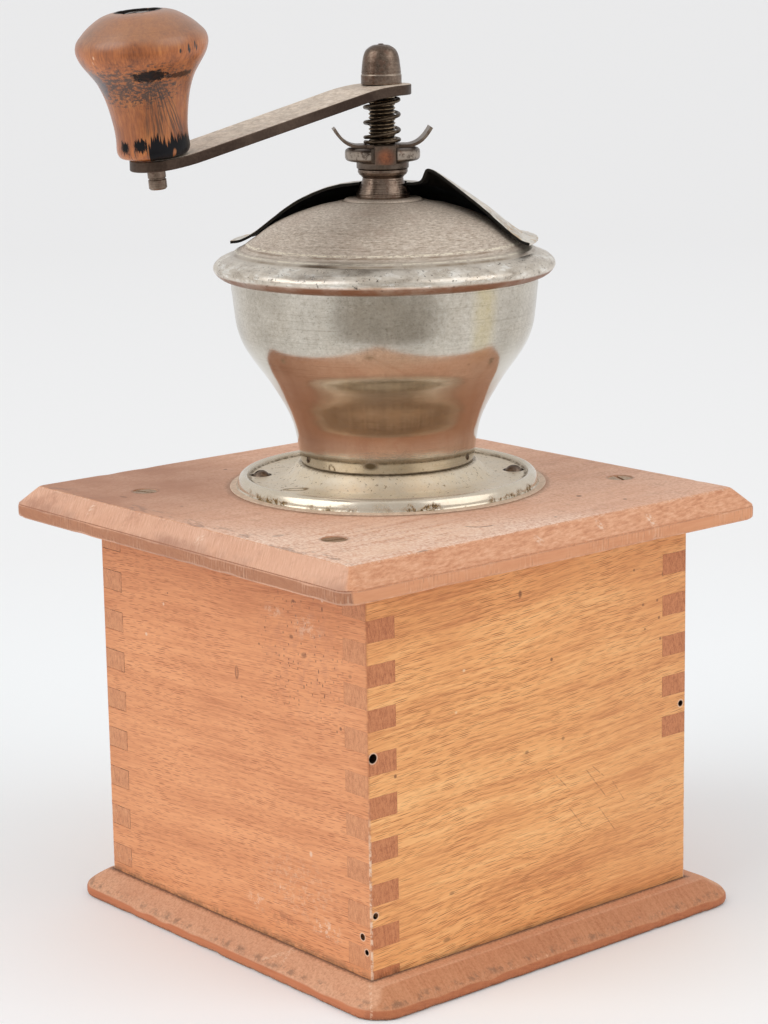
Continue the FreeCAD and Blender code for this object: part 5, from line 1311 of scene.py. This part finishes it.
top_rings = [(12.0, 119.5), (1.0, 119.5), (0.38, 119.6), (0.10, 119.95), (0.0, 120.5), (0.0, 121.4), (0.0, 122.3), (0.02, 123.0),
             (0.22, 123.32), (0.16, 123.62), (0.50, 123.95), (1.2, 124.55), (2.2, 125.46), (3.3, 126.46), (4.4, 127.46),
             (5.3, 128.24), (5.75, 128.56), (6.3, 128.76), (7.0, 128.83), (8.0, 128.85), (10.5, 128.85)]
cuts = []
for x, y in TOP_SCREWS:
    cuts.append(disc_cutter(x, y, ZT - 4.2, ZT + 0.4, 1.2, 4.05))
ring_board("top_board_worn", 1.74, 2.10, 79.7, 78.9, 4.85, 1.2, top_rings, 5.92, 11, hole=(HX, HY, 24.0),
           wear=((123.5, 46, (0.05, 0.34), (0.8, 3.2)), (119.6, 60, (0.05, 0.4), (0.6, 2.6)),
                 (128.6, 40, (0.03, 0.22), (0.8, 3.0))),
           slot="top_wood", mat=TOPW, replaces="top_board", cutters=cuts)
base_rings = [(14.0, 0.0), (1.4, 0.0), (0.55, 0.10), (0.15, 0.45), (0.0, 1.0), (0.0, 1.8), (0.05, 2.5), (0.28, 3.05), (0.75, 3.55),
              (1.5, 4.12), (2.6, 4.82), (3.8, 5.55), (5.0, 6.27), (6.2, 6.98), (6.9, 7.36), (7.5, 7.54), (8.2, 7.6), (9.5, 7.6),
              (14.0, 7.6)]
ring_board("base_board_worn", -1.38, -1.61, 73.0, 72.2, 9.7, 2.5, base_rings, 7.2, 23,
           wear=((3.3, 60, (0.05, 0.5), (0.8, 3.4)), (0.2, 50, (0.05, 0.45), (0.6, 2.6))),
           slot="base_wood", mat=BASEW, replaces="base_board",
           cutters=[disc_cutter(x, y, -0.4, 3.2, 3.95, 1.7) for x, y in BASE_SCREWS])


def edged_copy(node, name, body, slot, mat, corner=0.45, joint=0.15):
    """Copy of a flat board with eased outer corners and finely eased joint lines."""
    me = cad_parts[node].data.copy()
    me.materials.clear()
    bm = bmesh.new()
    bm.from_mesh(me)
    bmesh.ops.remove_doubles(bm, verts=bm.verts, dist=1e-6)
    bmesh.ops.dissolve_limit(bm, angle_limit=math.radians(1.0), verts=bm.verts, edges=bm.edges)

    def sharp(e):
        return len(e.link_faces) == 2 and e.calc_face_angle(0.0) > math.radians(40)

    def on_corner(e):
        p = [v.co / MM for v in e.verts]
        up = abs(p[0].z - p[1].z) > 1.0
        return up and all(abs(abs(q.x) - BOX_HX) < 0.02 and abs(abs(q.y) - BOX_HY) < 0.02 for q in p)

    ce = [e for e in bm.edges if sharp(e) and on_corner(e)]
    if ce and corner:
        bmesh.ops.bevel(bm, geom=ce, offset=corner * MM, segments=3, profile=0.5, affect="EDGES", clamp_overlap=True)
    je = [e for e in bm.edges if sharp(e)]
    if joint:
        done = bmesh.ops.bevel(bm, geom=je, offset=joint * MM, segments=1, profile=0.5, affect="EDGES", clamp_overlap=True)
        for f in done["faces"]:
            f.material_index = 1
    bmesh.ops.recalc_face_normals(bm, faces=bm.faces)
    bm.to_mesh(me)
    bm.free()
    return piece_from(name, me, body, slot, [mat, JOINT], node, deg=None)


edged_copy("rear_panel", "rear_panel_board", "case", "box_wood", REAR)
edged_copy("left_side_panel", "left_side_board", "case", "box_wood", LEFT)
edged_copy("right_side_panel", "right_side_board", "case", "box_wood", RIGHT)
edged_copy("front_panel", "front_panel_board", "case", "box_wood", FRONT)
edged_copy("drawer_front", "drawer_front_board", "drawer", "box_wood", DRAWF, joint=0.3)
for nd, mat in (("drawer_left_side", INNER), ("drawer_right_side", INNER), ("drawer_back", INNER_X), ("drawer_bottom", INNER_Z)):
    edged_copy(nd, nd + "_board", "drawer", "drawer_wood", mat, joint=0.12)

# --------------------------------------------------------------------- hopper
N_T = 224


def gentle(seed, amp):
    """Slight out of round of spun sheet."""
    def f(r, z, a):
        k = mnoise.noise(Vector((math.cos(a) * 1.3, math.sin(a) * 1.3, z * 0.03 + seed)))
        return max(0.0, r - amp * (0.5 + 0.5 * k)), z
    return f


fl = outline((FLANGE_BORE, ZT), [
    ("l", (FLANGE_R - 0.2, ZT)), ("l", (FLANGE_R, ZT + 0.15)), ("l", (FLANGE_R - 0.15, ZT + 0.4)), ("l", (BEAD_R + 0.2, ZT + 0.6)),
    ("s", [(BEAD_R, ZT + 1.0), (BEAD_R - 0.2, ZT + 1.9), (BEAD_R - 0.8, ZT + 3.2), (BEAD_R - 1.95, ZT + 4.05), (BEAD_R - 2.95, ZT + 3.75),
           (BEAD_R - 3.4, ZT + 3.1), (BEAD_R - 3.8, ZT + 2.75)]),
    ("l", (37.0, ZT + 2.75)), ("l", (33.0, ZT + 2.75)),
    ("s", [(31.0, ZT + 3.15), (29.0, ZT + 4.65), (27.3, ZT + 6.4), (26.4, ZT + 7.1), (26.0, ZT + 7.25)]),
    ("l", (FLANGE_BORE, ZT + 7.25))], 6)
me = raw_mesh("flange", *lathe(soften(fl, 0.12), N_T))
for a in (47.5, 235.0):
    x, y = polar(38.0, a)
    me = cut_mesh(me, *disc_cutter(x, y, SEAT, SEAT + 6, 3.1))
piece_from("hopper_flange_ring", me, "case", "nickel", FLANGE, "hopper_flange", deg=40)



def round_screw(x, y, slot):
    """Round head screw standing in the sunk hole, with a narrow slot."""
    prof = outline((0.0, 2.0), [("s", [(0.9, 1.9), (1.64, 1.52), (2.3, 0.9), (2.62, 0.35), (2.65, 0.0)]), ("l", (1.6, 0.0)), ("l", (1.6, -9.2)),
                                ("l", (1.0, -10.4)), ("l", (0.0, -10.4))], 4)
    m = raw_mesh("screw", *lathe([(r, SEAT + z) for r, z in prof], 48, x=x, y=y))
    c, t = math.cos(math.radians(slot)), math.sin(math.radians(slot))
    v = [(x + p * c - q * t, y + p * t + q * c, z) for z in (SEAT + 1.25, SEAT + 3.0)
         for p, q in ((-3.0, -0.32), (3.0, -0.32), (3.0, 0.32), (-3.0, 0.32))]
    return cut_mesh(m, v, [(3, 2, 1, 0), (4, 5, 6, 7), (0, 1, 5, 4), (1, 2, 6, 5), (2, 3, 7, 6), (3, 0, 4, 7)])


bm = bmesh.new()
for a, slot in ((47.5, 75.0), (235.0, 40.0)):
    bm.from_mesh(round_screw(*polar(38.0, a), slot))
me = bpy.data.meshes.new("flange_round_screws")
bm.to_mesh(me)
bm.free()
piece_from("flange_round_screws", me, "case", "screw_steel", FSCREW, "flange_screws", deg=35)

bowl_out = [(25.4, BOWL_Z), (25.75, BOWL_Z + 0.4), (26.25, 139.0), (26.88, 143.1), (27.9, 148.0), (29.9, 152.8), (32.6, 157.6),
            (35.65, 162.45), (39.2, 167.25), (42.1, 172.0), (43.8, 176.8), (44.5, 181.6), (45.0, 186.3), (45.3, 188.7), (45.3, 196.0)]
sm = spline(bowl_out[1:14], 6)
inner = []
for i, p in enumerate(sm):
    a, b = sm[max(i - 1, 0)], sm[min(i + 1, len(sm) - 1)]
    tx, tz = b[0] - a[0], b[1] - a[1]
    n = math.hypot(tx, tz)
    inner.append((p[0] - tz / n, max(p[1] + tx / n, BOWL_Z + 1.0)))
prof = [(FLANGE_BORE, BOWL_Z), (25.4, BOWL_Z)] + sm + [(45.3, 196.0), (44.3, 196.0)] + inner[::-1] + [(FLANGE_BORE, BOWL_Z + 1.0)]
piece("hopper_bowl_shell", *lathe(prof, N_T, wob=gentle(3.0, 0.05)), "case", "nickel", BOWL, "hopper_bowl", deg=40)

dome_o = outline((45.36, 191.0), [
    ("s", [(47.0, 191.35), (48.4, 191.95), (49.75, 193.15), (50.4, 194.45), (50.0, 195.75), (48.75, 196.95)]),
    ("s", [(46.9, 197.8), (44.8, 198.6)]),
    ("l", (43.9, 199.45)), ("l", (42.2, 200.25)), ("l", (41.0, 200.95)),
    ("s", [(40.2, 201.6), (38.0, 203.1), (33.5, 206.3), (29.0, 208.6), (24.5, 210.4), (18.4, 212.3), (13.5, 213.25), (12.0, 213.45)]),
    ("l", (11.65, 213.6)), ("l", (11.3, 214.05)), ("l", (10.8, 214.25)), ("l", (6.0, 214.25))], 6)
dome_i = outline((6.0, 213.15), [
    ("l", (10.0, 213.1)),
    ("s", [(12.2, 212.3), (13.5, 212.05), (18.2, 211.1), (24.1, 209.3), (28.5, 207.55), (32.9, 205.3), (38.0, 201.62), (40.8, 199.6)]),
    ("l", (42.7, 198.2)), ("l", (43.0, 196.3)), ("l", (45.36, 196.3))], 6)
dome_o = soften(dome_o, 0.25, closed=False)


def sector_dome():
    """Turned cover with the fill opening left out of its far half."""
    prof = dome_o + dome_i
    m = len(prof)
    n = 240
    a0 = -122.5
    open_n = 110
    wob = gentle(8.0, 0.06)
    verts, faces = [], []
    for i in range(n):
        a = math.radians(a0 + 1.5 * i)
        for r, z in prof:
            rr, zz = wob(r, z, a)
            verts.append((HX + rr * math.cos(a), HY + rr * math.sin(a), zz))
    near = lambda r, v: abs(r - v) < 1e-6
    mo = len(dome_o)
    ko0 = next(k for k in range(mo) if near(prof[k][0], 38.0))
    ko1 = next(k for k in range(mo) if near(prof[k][0], 13.5))
    ki0 = next(k for k in range(mo, m) if near(prof[k][0], 13.5))
    ki1 = next(k for k in range(mo, m) if near(prof[k][0], 38.0))
    for i in range(n):
        j = (i + 1) % n
        for k in range(m):
            q = (k + 1) % m
            if i < open_n and (ko0 <= k < ko1 or ki0 <= k < ki1):
                continue
            faces.append((i * m + k, j * m + k, j * m + q, i * m + q))
        if i < open_n:
            faces.append((i * m + ko0, j * m + ko0, j * m + ki1, i * m + ki1))
            faces.append((i * m + ko1, j * m + ko1, j * m + ki0, i * m + ki0))
    for i in (0, open_n):
        faces.append(tuple(i * m + k for k in range(ko0, ko1 + 1)) + tuple(i * m + k for k in range(ki0, ki1 + 1)))
    return verts, faces


piece("dome_cover_shell", *sector_dome(), "case", "cover_steel", DOME, "dome_cover", deg=28)

col_o = outline((4.02, 211.0), [
    ("l", (7.3, 211.0)), ("l", (7.3, 213.05)), ("l", (5.98, 213.05)), ("l", (5.98, 214.27)), ("l", (7.75, 214.27)),
    ("l", (7.85, 214.4)), ("l", (7.85, 215.75)), ("l", (7.62, 215.95)),
    ("s", [(7.0, 217.2), (6.45, 218.5), (6.1, 219.5), (6.0, 220.1)]),
    ("s", [(6.3, 220.55), (7.0, 221.15), (7.35, 221.9), (7.3, 222.55)]), ("l", (7.05, 222.75)), ("l", (4.02, 222.75))], 5)


def ridged(r, z, a):
    """Fine turned ridges on the outside of the collar."""
    if r > 5.99 and z > 214.4:
        r -= 0.035 * (1.0 + math.sin(z * 9.0))
    return r, z


def finer(prof, step):
    """Outline with long spans divided."""
    out = []
    for i, p in enumerate(prof):
        q = prof[(i + 1) % len(prof)]
        n = max(1, int(math.hypot(q[0] - p[0], q[1] - p[1]) / step)) if min(p[1], q[1]) > 214.3 and min(p[0], q[0]) > 5.9 else 1
        for k in range(n):
            out.append((p[0] + (q[0] - p[0]) * k / n, p[1] + (q[1] - p[1]) * k / n))
    return out


piece("bearing_collar_turned", *lathe(finer(soften(col_o, 0.12), 0.12), 96, wob=ridged), "case", "dark_steel", DARK, "bearing_collar", deg=40)

# fill door: bent sheet, black inside
door_base = [(7.1, 218.75), (9.6, 218.58), (11.2, 218.42), (12.2, 218.3), (12.9, 218.2), (13.6, 218.06), (15.2, 217.7), (18.0, 216.9),
             (24.0, 214.4), (29.0, 211.4), (33.0, 208.4), (38.1, 204.6), (41.5, 202.8), (43.5, 202.15), (45.4, 201.95)]
door_lip = [0.0, 0.25, 0.75, 1.7, 3.35, 4.65, 4.95, 4.3, 2.6, 2.0, 1.9, 1.4, 0.7, 0.3, 0.1]
DOOR_A0, DOOR_A1, DOOR_T = -152.0, 48.0, 0.8


def door_sheet():
    na = 150
    sub = 4
    rows = []
    for i in range(na + 1):
        a = DOOR_A0 + (DOOR_A1 - DOOR_A0) * i / na
        t = max(0.0, min(1.0, (DOOR_A0 + 44.0 - a) / 44.0))
        f = t * t * (3 - 2 * t)
        up = spline([(p[0], p[1] + f * q) for p, q in zip(door_base, door_lip)], sub)
        dn = []
        for k, p in enumerate(up):
            b0, b1 = up[max(k - 1, 0)], up[min(k + 1, len(up) - 1)]
            tx, tz = b1[0] - b0[0], b1[1] - b0[1]
            q = math.hypot(tx, tz)
            dn.append((p[0] + DOOR_T * tz / q, p[1] - DOOR_T * tx / q))
        row = []
        for pts in (up, dn):
            out = []
            for k, (r, z) in enumerate(pts):
                s = k / (len(pts) - 1.0)
                lump = 0.10 * mnoise.noise(Vector((r * 0.25, math.radians(a) * r * 0.25, 4.0)))
                trim = 0.25 * (0.5 + 0.5 * mnoise.noise(Vector((a * 0.22, 1.0, 7.0)))) if s > 0.97 else 0.0
                c, sn = math.cos(math.radians(a)), math.sin(math.radians(a))
                out.append((HX + (r - trim) * c, HY + (r - trim) * sn, z + lump))
            row.append(out)
        rows.append(row)
    m = len(rows[0][0])
    verts, faces, mats = [], [], []
    for up, dn in rows:
        verts += up + dn
    w = 2 * m
    for i in range(na):
        a, b = i * w, (i + 1) * w
        for k in range(m - 1):
            faces.append((a + k, b + k, b + k + 1, a + k + 1))
            mats.append(0)
            faces.append((a + m + k, a + m + k + 1, b + m + k + 1, b + m + k))
            mats.append(1)
        faces.append((a + m - 1, b + m - 1, b + 2 * m - 1, a + 2 * m - 1))
        mats.append(0)
        faces.append((a, a + m, b + m, b))
        mats.append(1)
    for a in (0, na * w):
        for k in range(m - 1):
            faces.append((a + k, a + k + 1, a + m + k + 1, a + m + k))
            mats.append(1)
    return verts, faces, mats


dv, df, dm = door_sheet()
me = bpy.data.meshes.new("fill_door_sheet")
me.from_pydata([(v[0] * MM, v[1] * MM, v[2] * MM) for v in dv], [], df)
me.polygons.foreach_set("material_index", dm)
bm = bmesh.new()
bm.from_mesh(me)
bmesh.ops.recalc_face_normals(bm, faces=bm.faces)
bm.to_mesh(me)
bm.free()
piece_from("fill_door_sheet", me, "door", "cover_steel", [DOOR_OUT, DOOR_IN], "fill_door", deg=50)

# -------------------------------------------------------------- spindle and nut
THREAD_P = 1.1


def threaded_rod():
    """Spindle with a right handed thread between the nut and the arm."""
    lo, hi = 223.0, ARM_BOT - 0.3
    n = 72
    prof = [(0.0, 79.0), (3.2, 79.0), (3.95, 79.8), (3.95, lo - 0.2)]
    nz = int((hi - lo) / 0.11)
    zs = [lo + (hi - lo) * k / nz for k in range(nz + 1)]
    verts, faces = [], []
    rings = []
    for r, z in prof:
        rings.append([(r * math.cos(2 * math.pi * i / n), r * math.sin(2 * math.pi * i / n), z) for i in range(n)])
    for z in zs:
        ring = []
        fade = min(1.0, (z - lo) / 0.8, (hi - z) / 0.5)
        for i in range(n):
            a = 2 * math.pi * i / n
            t = ((z - lo) / THREAD_P - i / n) % 1.0
            tri = abs(2 * t - 1.0)
            cutd = 0.50 * (1 - min(1.0, max(0.0, tri * 1.25 - 0.1))) * max(0.0, fade)
            r = 3.95 - cutd
            ring.append((r * math.cos(a), r * math.sin(a), z))
        rings.append(ring)
    for r, z in ((2.9, hi), (2.9, 255.2), (2.3, 256.0), (0.0, 256.0)):
        rings.append([(r * math.cos(2 * math.pi * i / n), r * math.sin(2 * math.pi * i / n), z) for i in range(n)])
    for ring in rings:
        verts += [(x + HX, y + HY, z) for x, y, z in ring]
    for k in range(len(rings) - 1):
        for i in range(n):
            j = (i + 1) % n
            faces.append((k * n + i, k * n + j, (k + 1) * n + j, (k + 1) * n + i))
    return verts, faces


piece("spindle_threaded", *threaded_rod(), "crank", "dark_steel", THREADM, "spindle", deg=32)

nut_o = outline((4.0, 222.8), [
    ("l", (7.45, 222.8)), ("l", (7.65, 223.0)), ("l", (7.65, 224.5)), ("l", (8.0, 224.85)),
    ("s", [(9.3, 224.95), (10.35, 225.2), (10.85, 225.7), (11.0, 226.3)]), ("l", (11.0, 227.5)),
    ("s", [(10.85, 228.15), (10.3, 228.65), (9.6, 228.9)]), ("l", (4.0, 228.9))], 5)
me = raw_mesh("nut", *lathe(soften(nut_o, 0.2), 120))


def radial_cutter(r0, r1, w, z0, z1, a):
    c, s = math.cos(math.radians(a)), math.sin(math.radians(a))
    v = [(HX + r * c - t * s, HY + r * s + t * c, z) for z in (z0, z1) for r, t in ((r0, -w / 2), (r1, -w / 2), (r1, w / 2), (r0, w / 2))]
    return v, [(3, 2, 1, 0), (4, 5, 6, 7), (0, 1, 5, 4), (1, 2, 6, 5), (2, 3, 7, 6), (3, 0, 4, 7)]


for d in (0, 120, 240):
    me = cut_mesh(me, *radial_cutter(8.4, 13.0, 7.6, 224.0, 230.0, 142.8 + d))
bm = bmesh.new()
bm.from_mesh(me)
sh = [e for e in bm.edges if len(e.link_faces) == 2 and e.calc_face_angle(0.0) > math.radians(50)]
bmesh.ops.bevel(bm, geom=sh, offset=0.22 * MM, segments=2, profile=0.5, affect="EDGES", clamp_overlap=True)
bm.to_mesh(me)
bm.free()
piece_from("adjusting_nut_turned", me, "crank", "dark_steel", NUTM, "adjusting_nut", deg=35)

cap_o = outline((2.95, ARM_TOP), [
    ("l", (5.85, ARM_TOP)), ("l", (5.92, ARM_TOP + 0.1)), ("l", (5.92, ARM_TOP + 2.75)), ("l", (5.66, ARM_TOP + 2.95)),
    ("l", (5.80, ARM_TOP + 3.2)),
    ("s", [(5.6, ARM_TOP + 5.0), (5.2, ARM_TOP + 7.8), (4.35, ARM_TOP + 9.8), (2.55, ARM_TOP + 11.05), (0.9, ARM_TOP + 11.35)]),
    ("l", (0.7, ARM_TOP + 11.6)), ("l", (0, ARM_TOP + 11.65)), ("l", (0, ARM_TOP + 9.2)), ("l", (2.35, ARM_TOP + 9.2)),
    ("l", (2.95, ARM_TOP + 8.2))], 6)
piece("cap_nut_turned", *lathe(soften(cap_o, 0.15), 96), "crank", "dark_steel", DARK, "cap_nut", deg=35)

# latch spring: round wire on a rising coil
SW, SPRING_R = 0.55, 4.97
coil_t = [0.0, 0.5, 1.0, 1.5, 2.0, 2.5, 3.0, 3.5, 3.8]
coil_h = [0.57, 1.16, 1.95, 3.95, 6.2, 8.45, 10.65, 12.7, 13.2]


def coil(t):
    i = 0
    while i < len(coil_t) - 2 and t > coil_t[i + 1]:
        i += 1
    s = []
    for k in (i, i + 1):
        a, b = max(k - 1, 0), min(k + 1, len(coil_t) - 1)
        s.append((coil_h[b] - coil_h[a]) / (coil_t[b] - coil_t[a]))
    w = coil_t[i + 1] - coil_t[i]
    u = (t - coil_t[i]) / w
    z = 229.85 + (coil_h[i] * (2 * u ** 3 - 3 * u ** 2 + 1) + s[0] * w * (u ** 3 - 2 * u ** 2 + u)
                  + coil_h[i + 1] * (3 * u ** 2 - 2 * u ** 3) + s[1] * w * (u ** 3 - u ** 2))
    a = math.radians(VIEW_A - 90) + 2 * math.pi * t
    return np.array([HX + SPRING_R * math.cos(a), HY + SPRING_R * math.sin(a), z])


def spring_mesh():
    n, q = 190, 14
    verts, faces = [], []
    for i in range(n + 1):
        t = coil_t[-1] * i / n
        p = coil(t)
        d = coil(min(t + 0.004, coil_t[-1])) - coil(max(t - 0.004, 0.0))
        d /= np.linalg.norm(d)
        o = p - np.array([HX, HY, p[2]])
        o /= np.linalg.norm(o)
        o -= d * (o @ d)
        o /= np.linalg.norm(o)
        b = np.cross(d, o)
        for k in range(q):
            c = 2 * math.pi * k / q
            verts.append(tuple(p + SW * (math.cos(c) * o + math.sin(c) * b)))
    for i in range(n):
        for k in range(q):
            l = (k + 1) % q
            faces.append((i * q + k, (i + 1) * q + k, (i + 1) * q + l, i * q + l))
    faces.append(tuple(range(q)))
    faces.append(tuple(n * q + k for k in reversed(range(q))))
    return verts, faces


sp = piece("latch_spring_coil", *spring_mesh(), "crank", "spring_steel", SPRINGM, "latch_spring", deg=40)
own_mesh(sp)

# ------------------------------------------------------------------- handle
KG = 0.4
knob_o = outline((2.58, 0.0), [
    ("l", (8.0, 0.0)),
    ("s", [(9.2, 0.45), (9.8, 1.4), (10.0, 2.6), (9.85, 5.2), (10.0, 8.3), (10.5, 11.8), (11.15, 15.0), (11.95, 17.8), (13.15, 20.8),
           (14.75, 23.3), (16.45, 25.7), (17.4, 27.5), (17.9, 29.2), (17.9, 30.6), (17.4, 32.1), (16.35, 33.4), (14.0, 35.65),
           (10.3, 38.0), (6.4, 39.15)]),
    ("l", (5.85, 39.1)), ("l", (5.6, 36.6)), ("l", (2.58, 36.6))], 5)
knob_o = [(r, z + KG) for r, z in soften(knob_o, 0.3)]


def knob_wob(r, z, a):
    """Slight hand turned unevenness and a ragged rim round the recess."""
    k = mnoise.noise(Vector((math.cos(a) * 2.2, math.sin(a) * 2.2, z * 0.15)))
    if z > 37.5 and r < 7.5 and r > 5.0:
        q = mnoise.noise(Vector((math.cos(a) * 3.1, math.sin(a) * 3.1, 9.0)))
        return r + 0.9 * q * max(0.0, 1 - abs(r - 6.0) / 1.5), z - 0.25 * (0.5 + 0.5 * q)
    if r > 4.0:
        r -= 0.06 * (0.5 + 0.5 * k)
    return r, z


kv, kf = lathe(knob_o, 160, x=0.0, y=0.0, wob=knob_wob)
kme = raw_mesh("crank_knob_turned", kv, kf)
place = kme.attributes.new("on_pin", "FLOAT_VECTOR", "POINT")
flat = np.empty(len(kme.vertices) * 3)
kme.vertices.foreach_get("co", flat)
place.data.foreach_set("vector", flat / MM)
kme.transform(Matrix.Translation(PIN * MM) @ Matrix((KNOB_X, KNOB_Y, PIN_AXIS)).transposed().to_4x4())
tidy(kme)
piece_from("crank_knob_turned", kme, "knob", "knob_wood", KNOB, "crank_knob", deg=40)

# ---------------------------------------------------- CAD nodes that stay as they are
for node, mat in {
    "top_board_screws": SCREW, "base_screws": SCREW, "outer_burr": IRON, "outer_burr_screws": SCREW,
    "lower_bridge": IRON, "lower_bridge_screws": SCREW, "inner_burr": IRON, "burr_pin": SCREW, "latch_plate": PLATE,
    "crank_arm": ARM, "knob_pin": DARK, "drawer_knob": PULL, "drawer_knob_screw": SCREW,
}.items():
    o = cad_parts[node]
    o.data.materials.clear()
    o.data.materials.append(mat)

# ------------------------------------------------------------------ the stage
fm = Mat("floor_pale")
P = fm.mm()
fx, fy, fz = fm.sep(P)
away = fm.m("SQRT", fm.add(fm.mul(fx, fx), fm.mul(fy, fy)))
# painted light: the floor lighter and bluer round the mill, greyer further off
pale = fm.ramp(fm.mul(away, 0.0005), [(0.0, (0.93, 0.965, 0.985, 1.0)), (0.075, (0.93, 0.965, 0.985, 1.0)), (0.25, (0.88, 0.885, 0.89, 1.0)),
                                      (0.9, (0.82, 0.82, 0.825, 1.0))])
weave = fm.noise(fm.vm("SCALE", P, s=0.6), detail=2.0)
fm.set("Base Color", fm.mix(fm.mul(weave, 0.03), pale, lin(214, 214, 216)))
fm.set("Roughness", 0.9)
fme = bpy.data.meshes.new("floor")
seg = 96
fme.from_pydata([(40.0 * math.cos(2 * math.pi * i / seg), 40.0 * math.sin(2 * math.pi * i / seg), 0.0) for i in range(seg)], [],
                [tuple(range(seg))])
fme.materials.append(fm.mat)
floor = bpy.data.objects.new("floor", fme)
scene.collection.objects.link(floor)

# grey disc on the floor before the mill, seen only in the polished bowl: a painted reflection of shade in front of the
# mill
gm = Mat("card_grey")
P = gm.mm()
CARD_C, CARD_R = polar(830.0, VIEW_A, 0.0, 0.0), 600.0
off = gm.vm("DISTANCE", P, (CARD_C[0], CARD_C[1], 1.5))
gl = gm.noise(gm.vm("SCALE", P, s=0.006), detail=2.0)
gm.set("Base Color", gm.mix(gm.step(off, CARD_R, CARD_R - 160.0), lin(238, 240, 242), gm.ramp(gl, [(0.3, lin(164, 160, 153)), (0.7, lin(178, 173, 166))])))
gm.set("Roughness", 0.9)
card = bpy.data.meshes.new("card")
seg = 72
card.from_pydata([((CARD_C[0] + CARD_R * math.cos(2 * math.pi * i / seg)) * MM, (CARD_C[1] + CARD_R * math.sin(2 * math.pi * i / seg)) * MM, 0.0015)
                  for i in range(seg)], [], [tuple(range(seg))])
card.materials.append(gm.mat)
cobj = bpy.data.objects.new("card", card)
scene.collection.objects.link(cobj)
cobj.visible_camera = cobj.visible_diffuse = cobj.visible_shadow = cobj.visible_transmission = False

world = bpy.data.worlds.new("studio")
scene.world = world
world.use_nodes = True
wt = world.node_tree
wt.nodes.clear()
wo = wt.nodes.new("ShaderNodeOutputWorld")
bg = wt.nodes.new("ShaderNodeBackground")
tc = wt.nodes.new("ShaderNodeTexCoord")
dot = wt.nodes.new("ShaderNodeVectorMath")
dot.operation = "DOT_PRODUCT"
front = Vector((-0.766, 0.643, 0.10)).normalized()
dot.inputs[1].default_value = front
mr = wt.nodes.new("ShaderNodeMapRange")
mr.interpolation_type = "SMOOTHSTEP"
mr.inputs["From Min"].default_value = 0.45
mr.inputs["From Max"].default_value = 0.80
mx = wt.nodes.new("ShaderNodeMix")
mx.data_type = "RGBA"
mx.inputs[6].default_value = (1.0, 1.0, 1.0, 1.0)
mx.inputs[7].default_value = (0.72, 0.72, 0.72, 1.0)
wt.links.new(tc.outputs["Generated"], dot.inputs[0])
wt.links.new(dot.outputs["Value"], mr.inputs["Value"])
wt.links.new(mr.outputs[0], mx.inputs[0])
wt.links.new(mx.outputs[2], bg.inputs["Color"])
bg.inputs["Strength"].default_value = 0.72
wt.links.new(bg.outputs[0], wo.inputs[0])


def sun(name, heading, elevation, spread, strength, color=(1, 1, 1)):
    d = bpy.data.lights.new(name, "SUN")
    d.angle = math.radians(spread)
    d.energy = strength
    d.color = color
    o = bpy.data.objects.new(name, d)
    scene.collection.objects.link(o)
    h, e = math.radians(heading), math.radians(elevation)
    p = Vector((math.cos(h) * math.cos(e), math.sin(h) * math.cos(e), math.sin(e)))
    o.rotation_mode = "QUATERNION"
    o.rotation_quaternion = (-p).to_track_quat("-Z", "Y")
    return o


sun("soft_left", 76.0, 36.0, 50.0, 1.04)
sun("soft_right", 204.0, 36.0, 50.0, 0.66)

cam = bpy.data.cameras.new("view")
co = bpy.data.objects.new("view", cam)
scene.collection.objects.link(co)
right = Vector((-0.6449735824418792, -0.7640332702822721, -0.016193821471940775))
upv = Vector((0.15004172450106373, -0.14738175116689994, 0.9776329067353068))
fwd = Vector((0.7493307406351587, -0.628117649270226, -0.20969420548601247))
mw = Matrix((right, upv, -fwd)).transposed().to_4x4()
mw.translation = Vector((-600.1948792569844, 505.6217843198419, 289.2001771731498)) * MM
co.matrix_world = mw
cam.sensor_width = 36.0
cam.sensor_fit = "AUTO"
cam.lens = 2686.9198416879694 * 36.0 / 1024.0
cam.clip_start, cam.clip_end = 0.05, 120.0
scene.camera = co
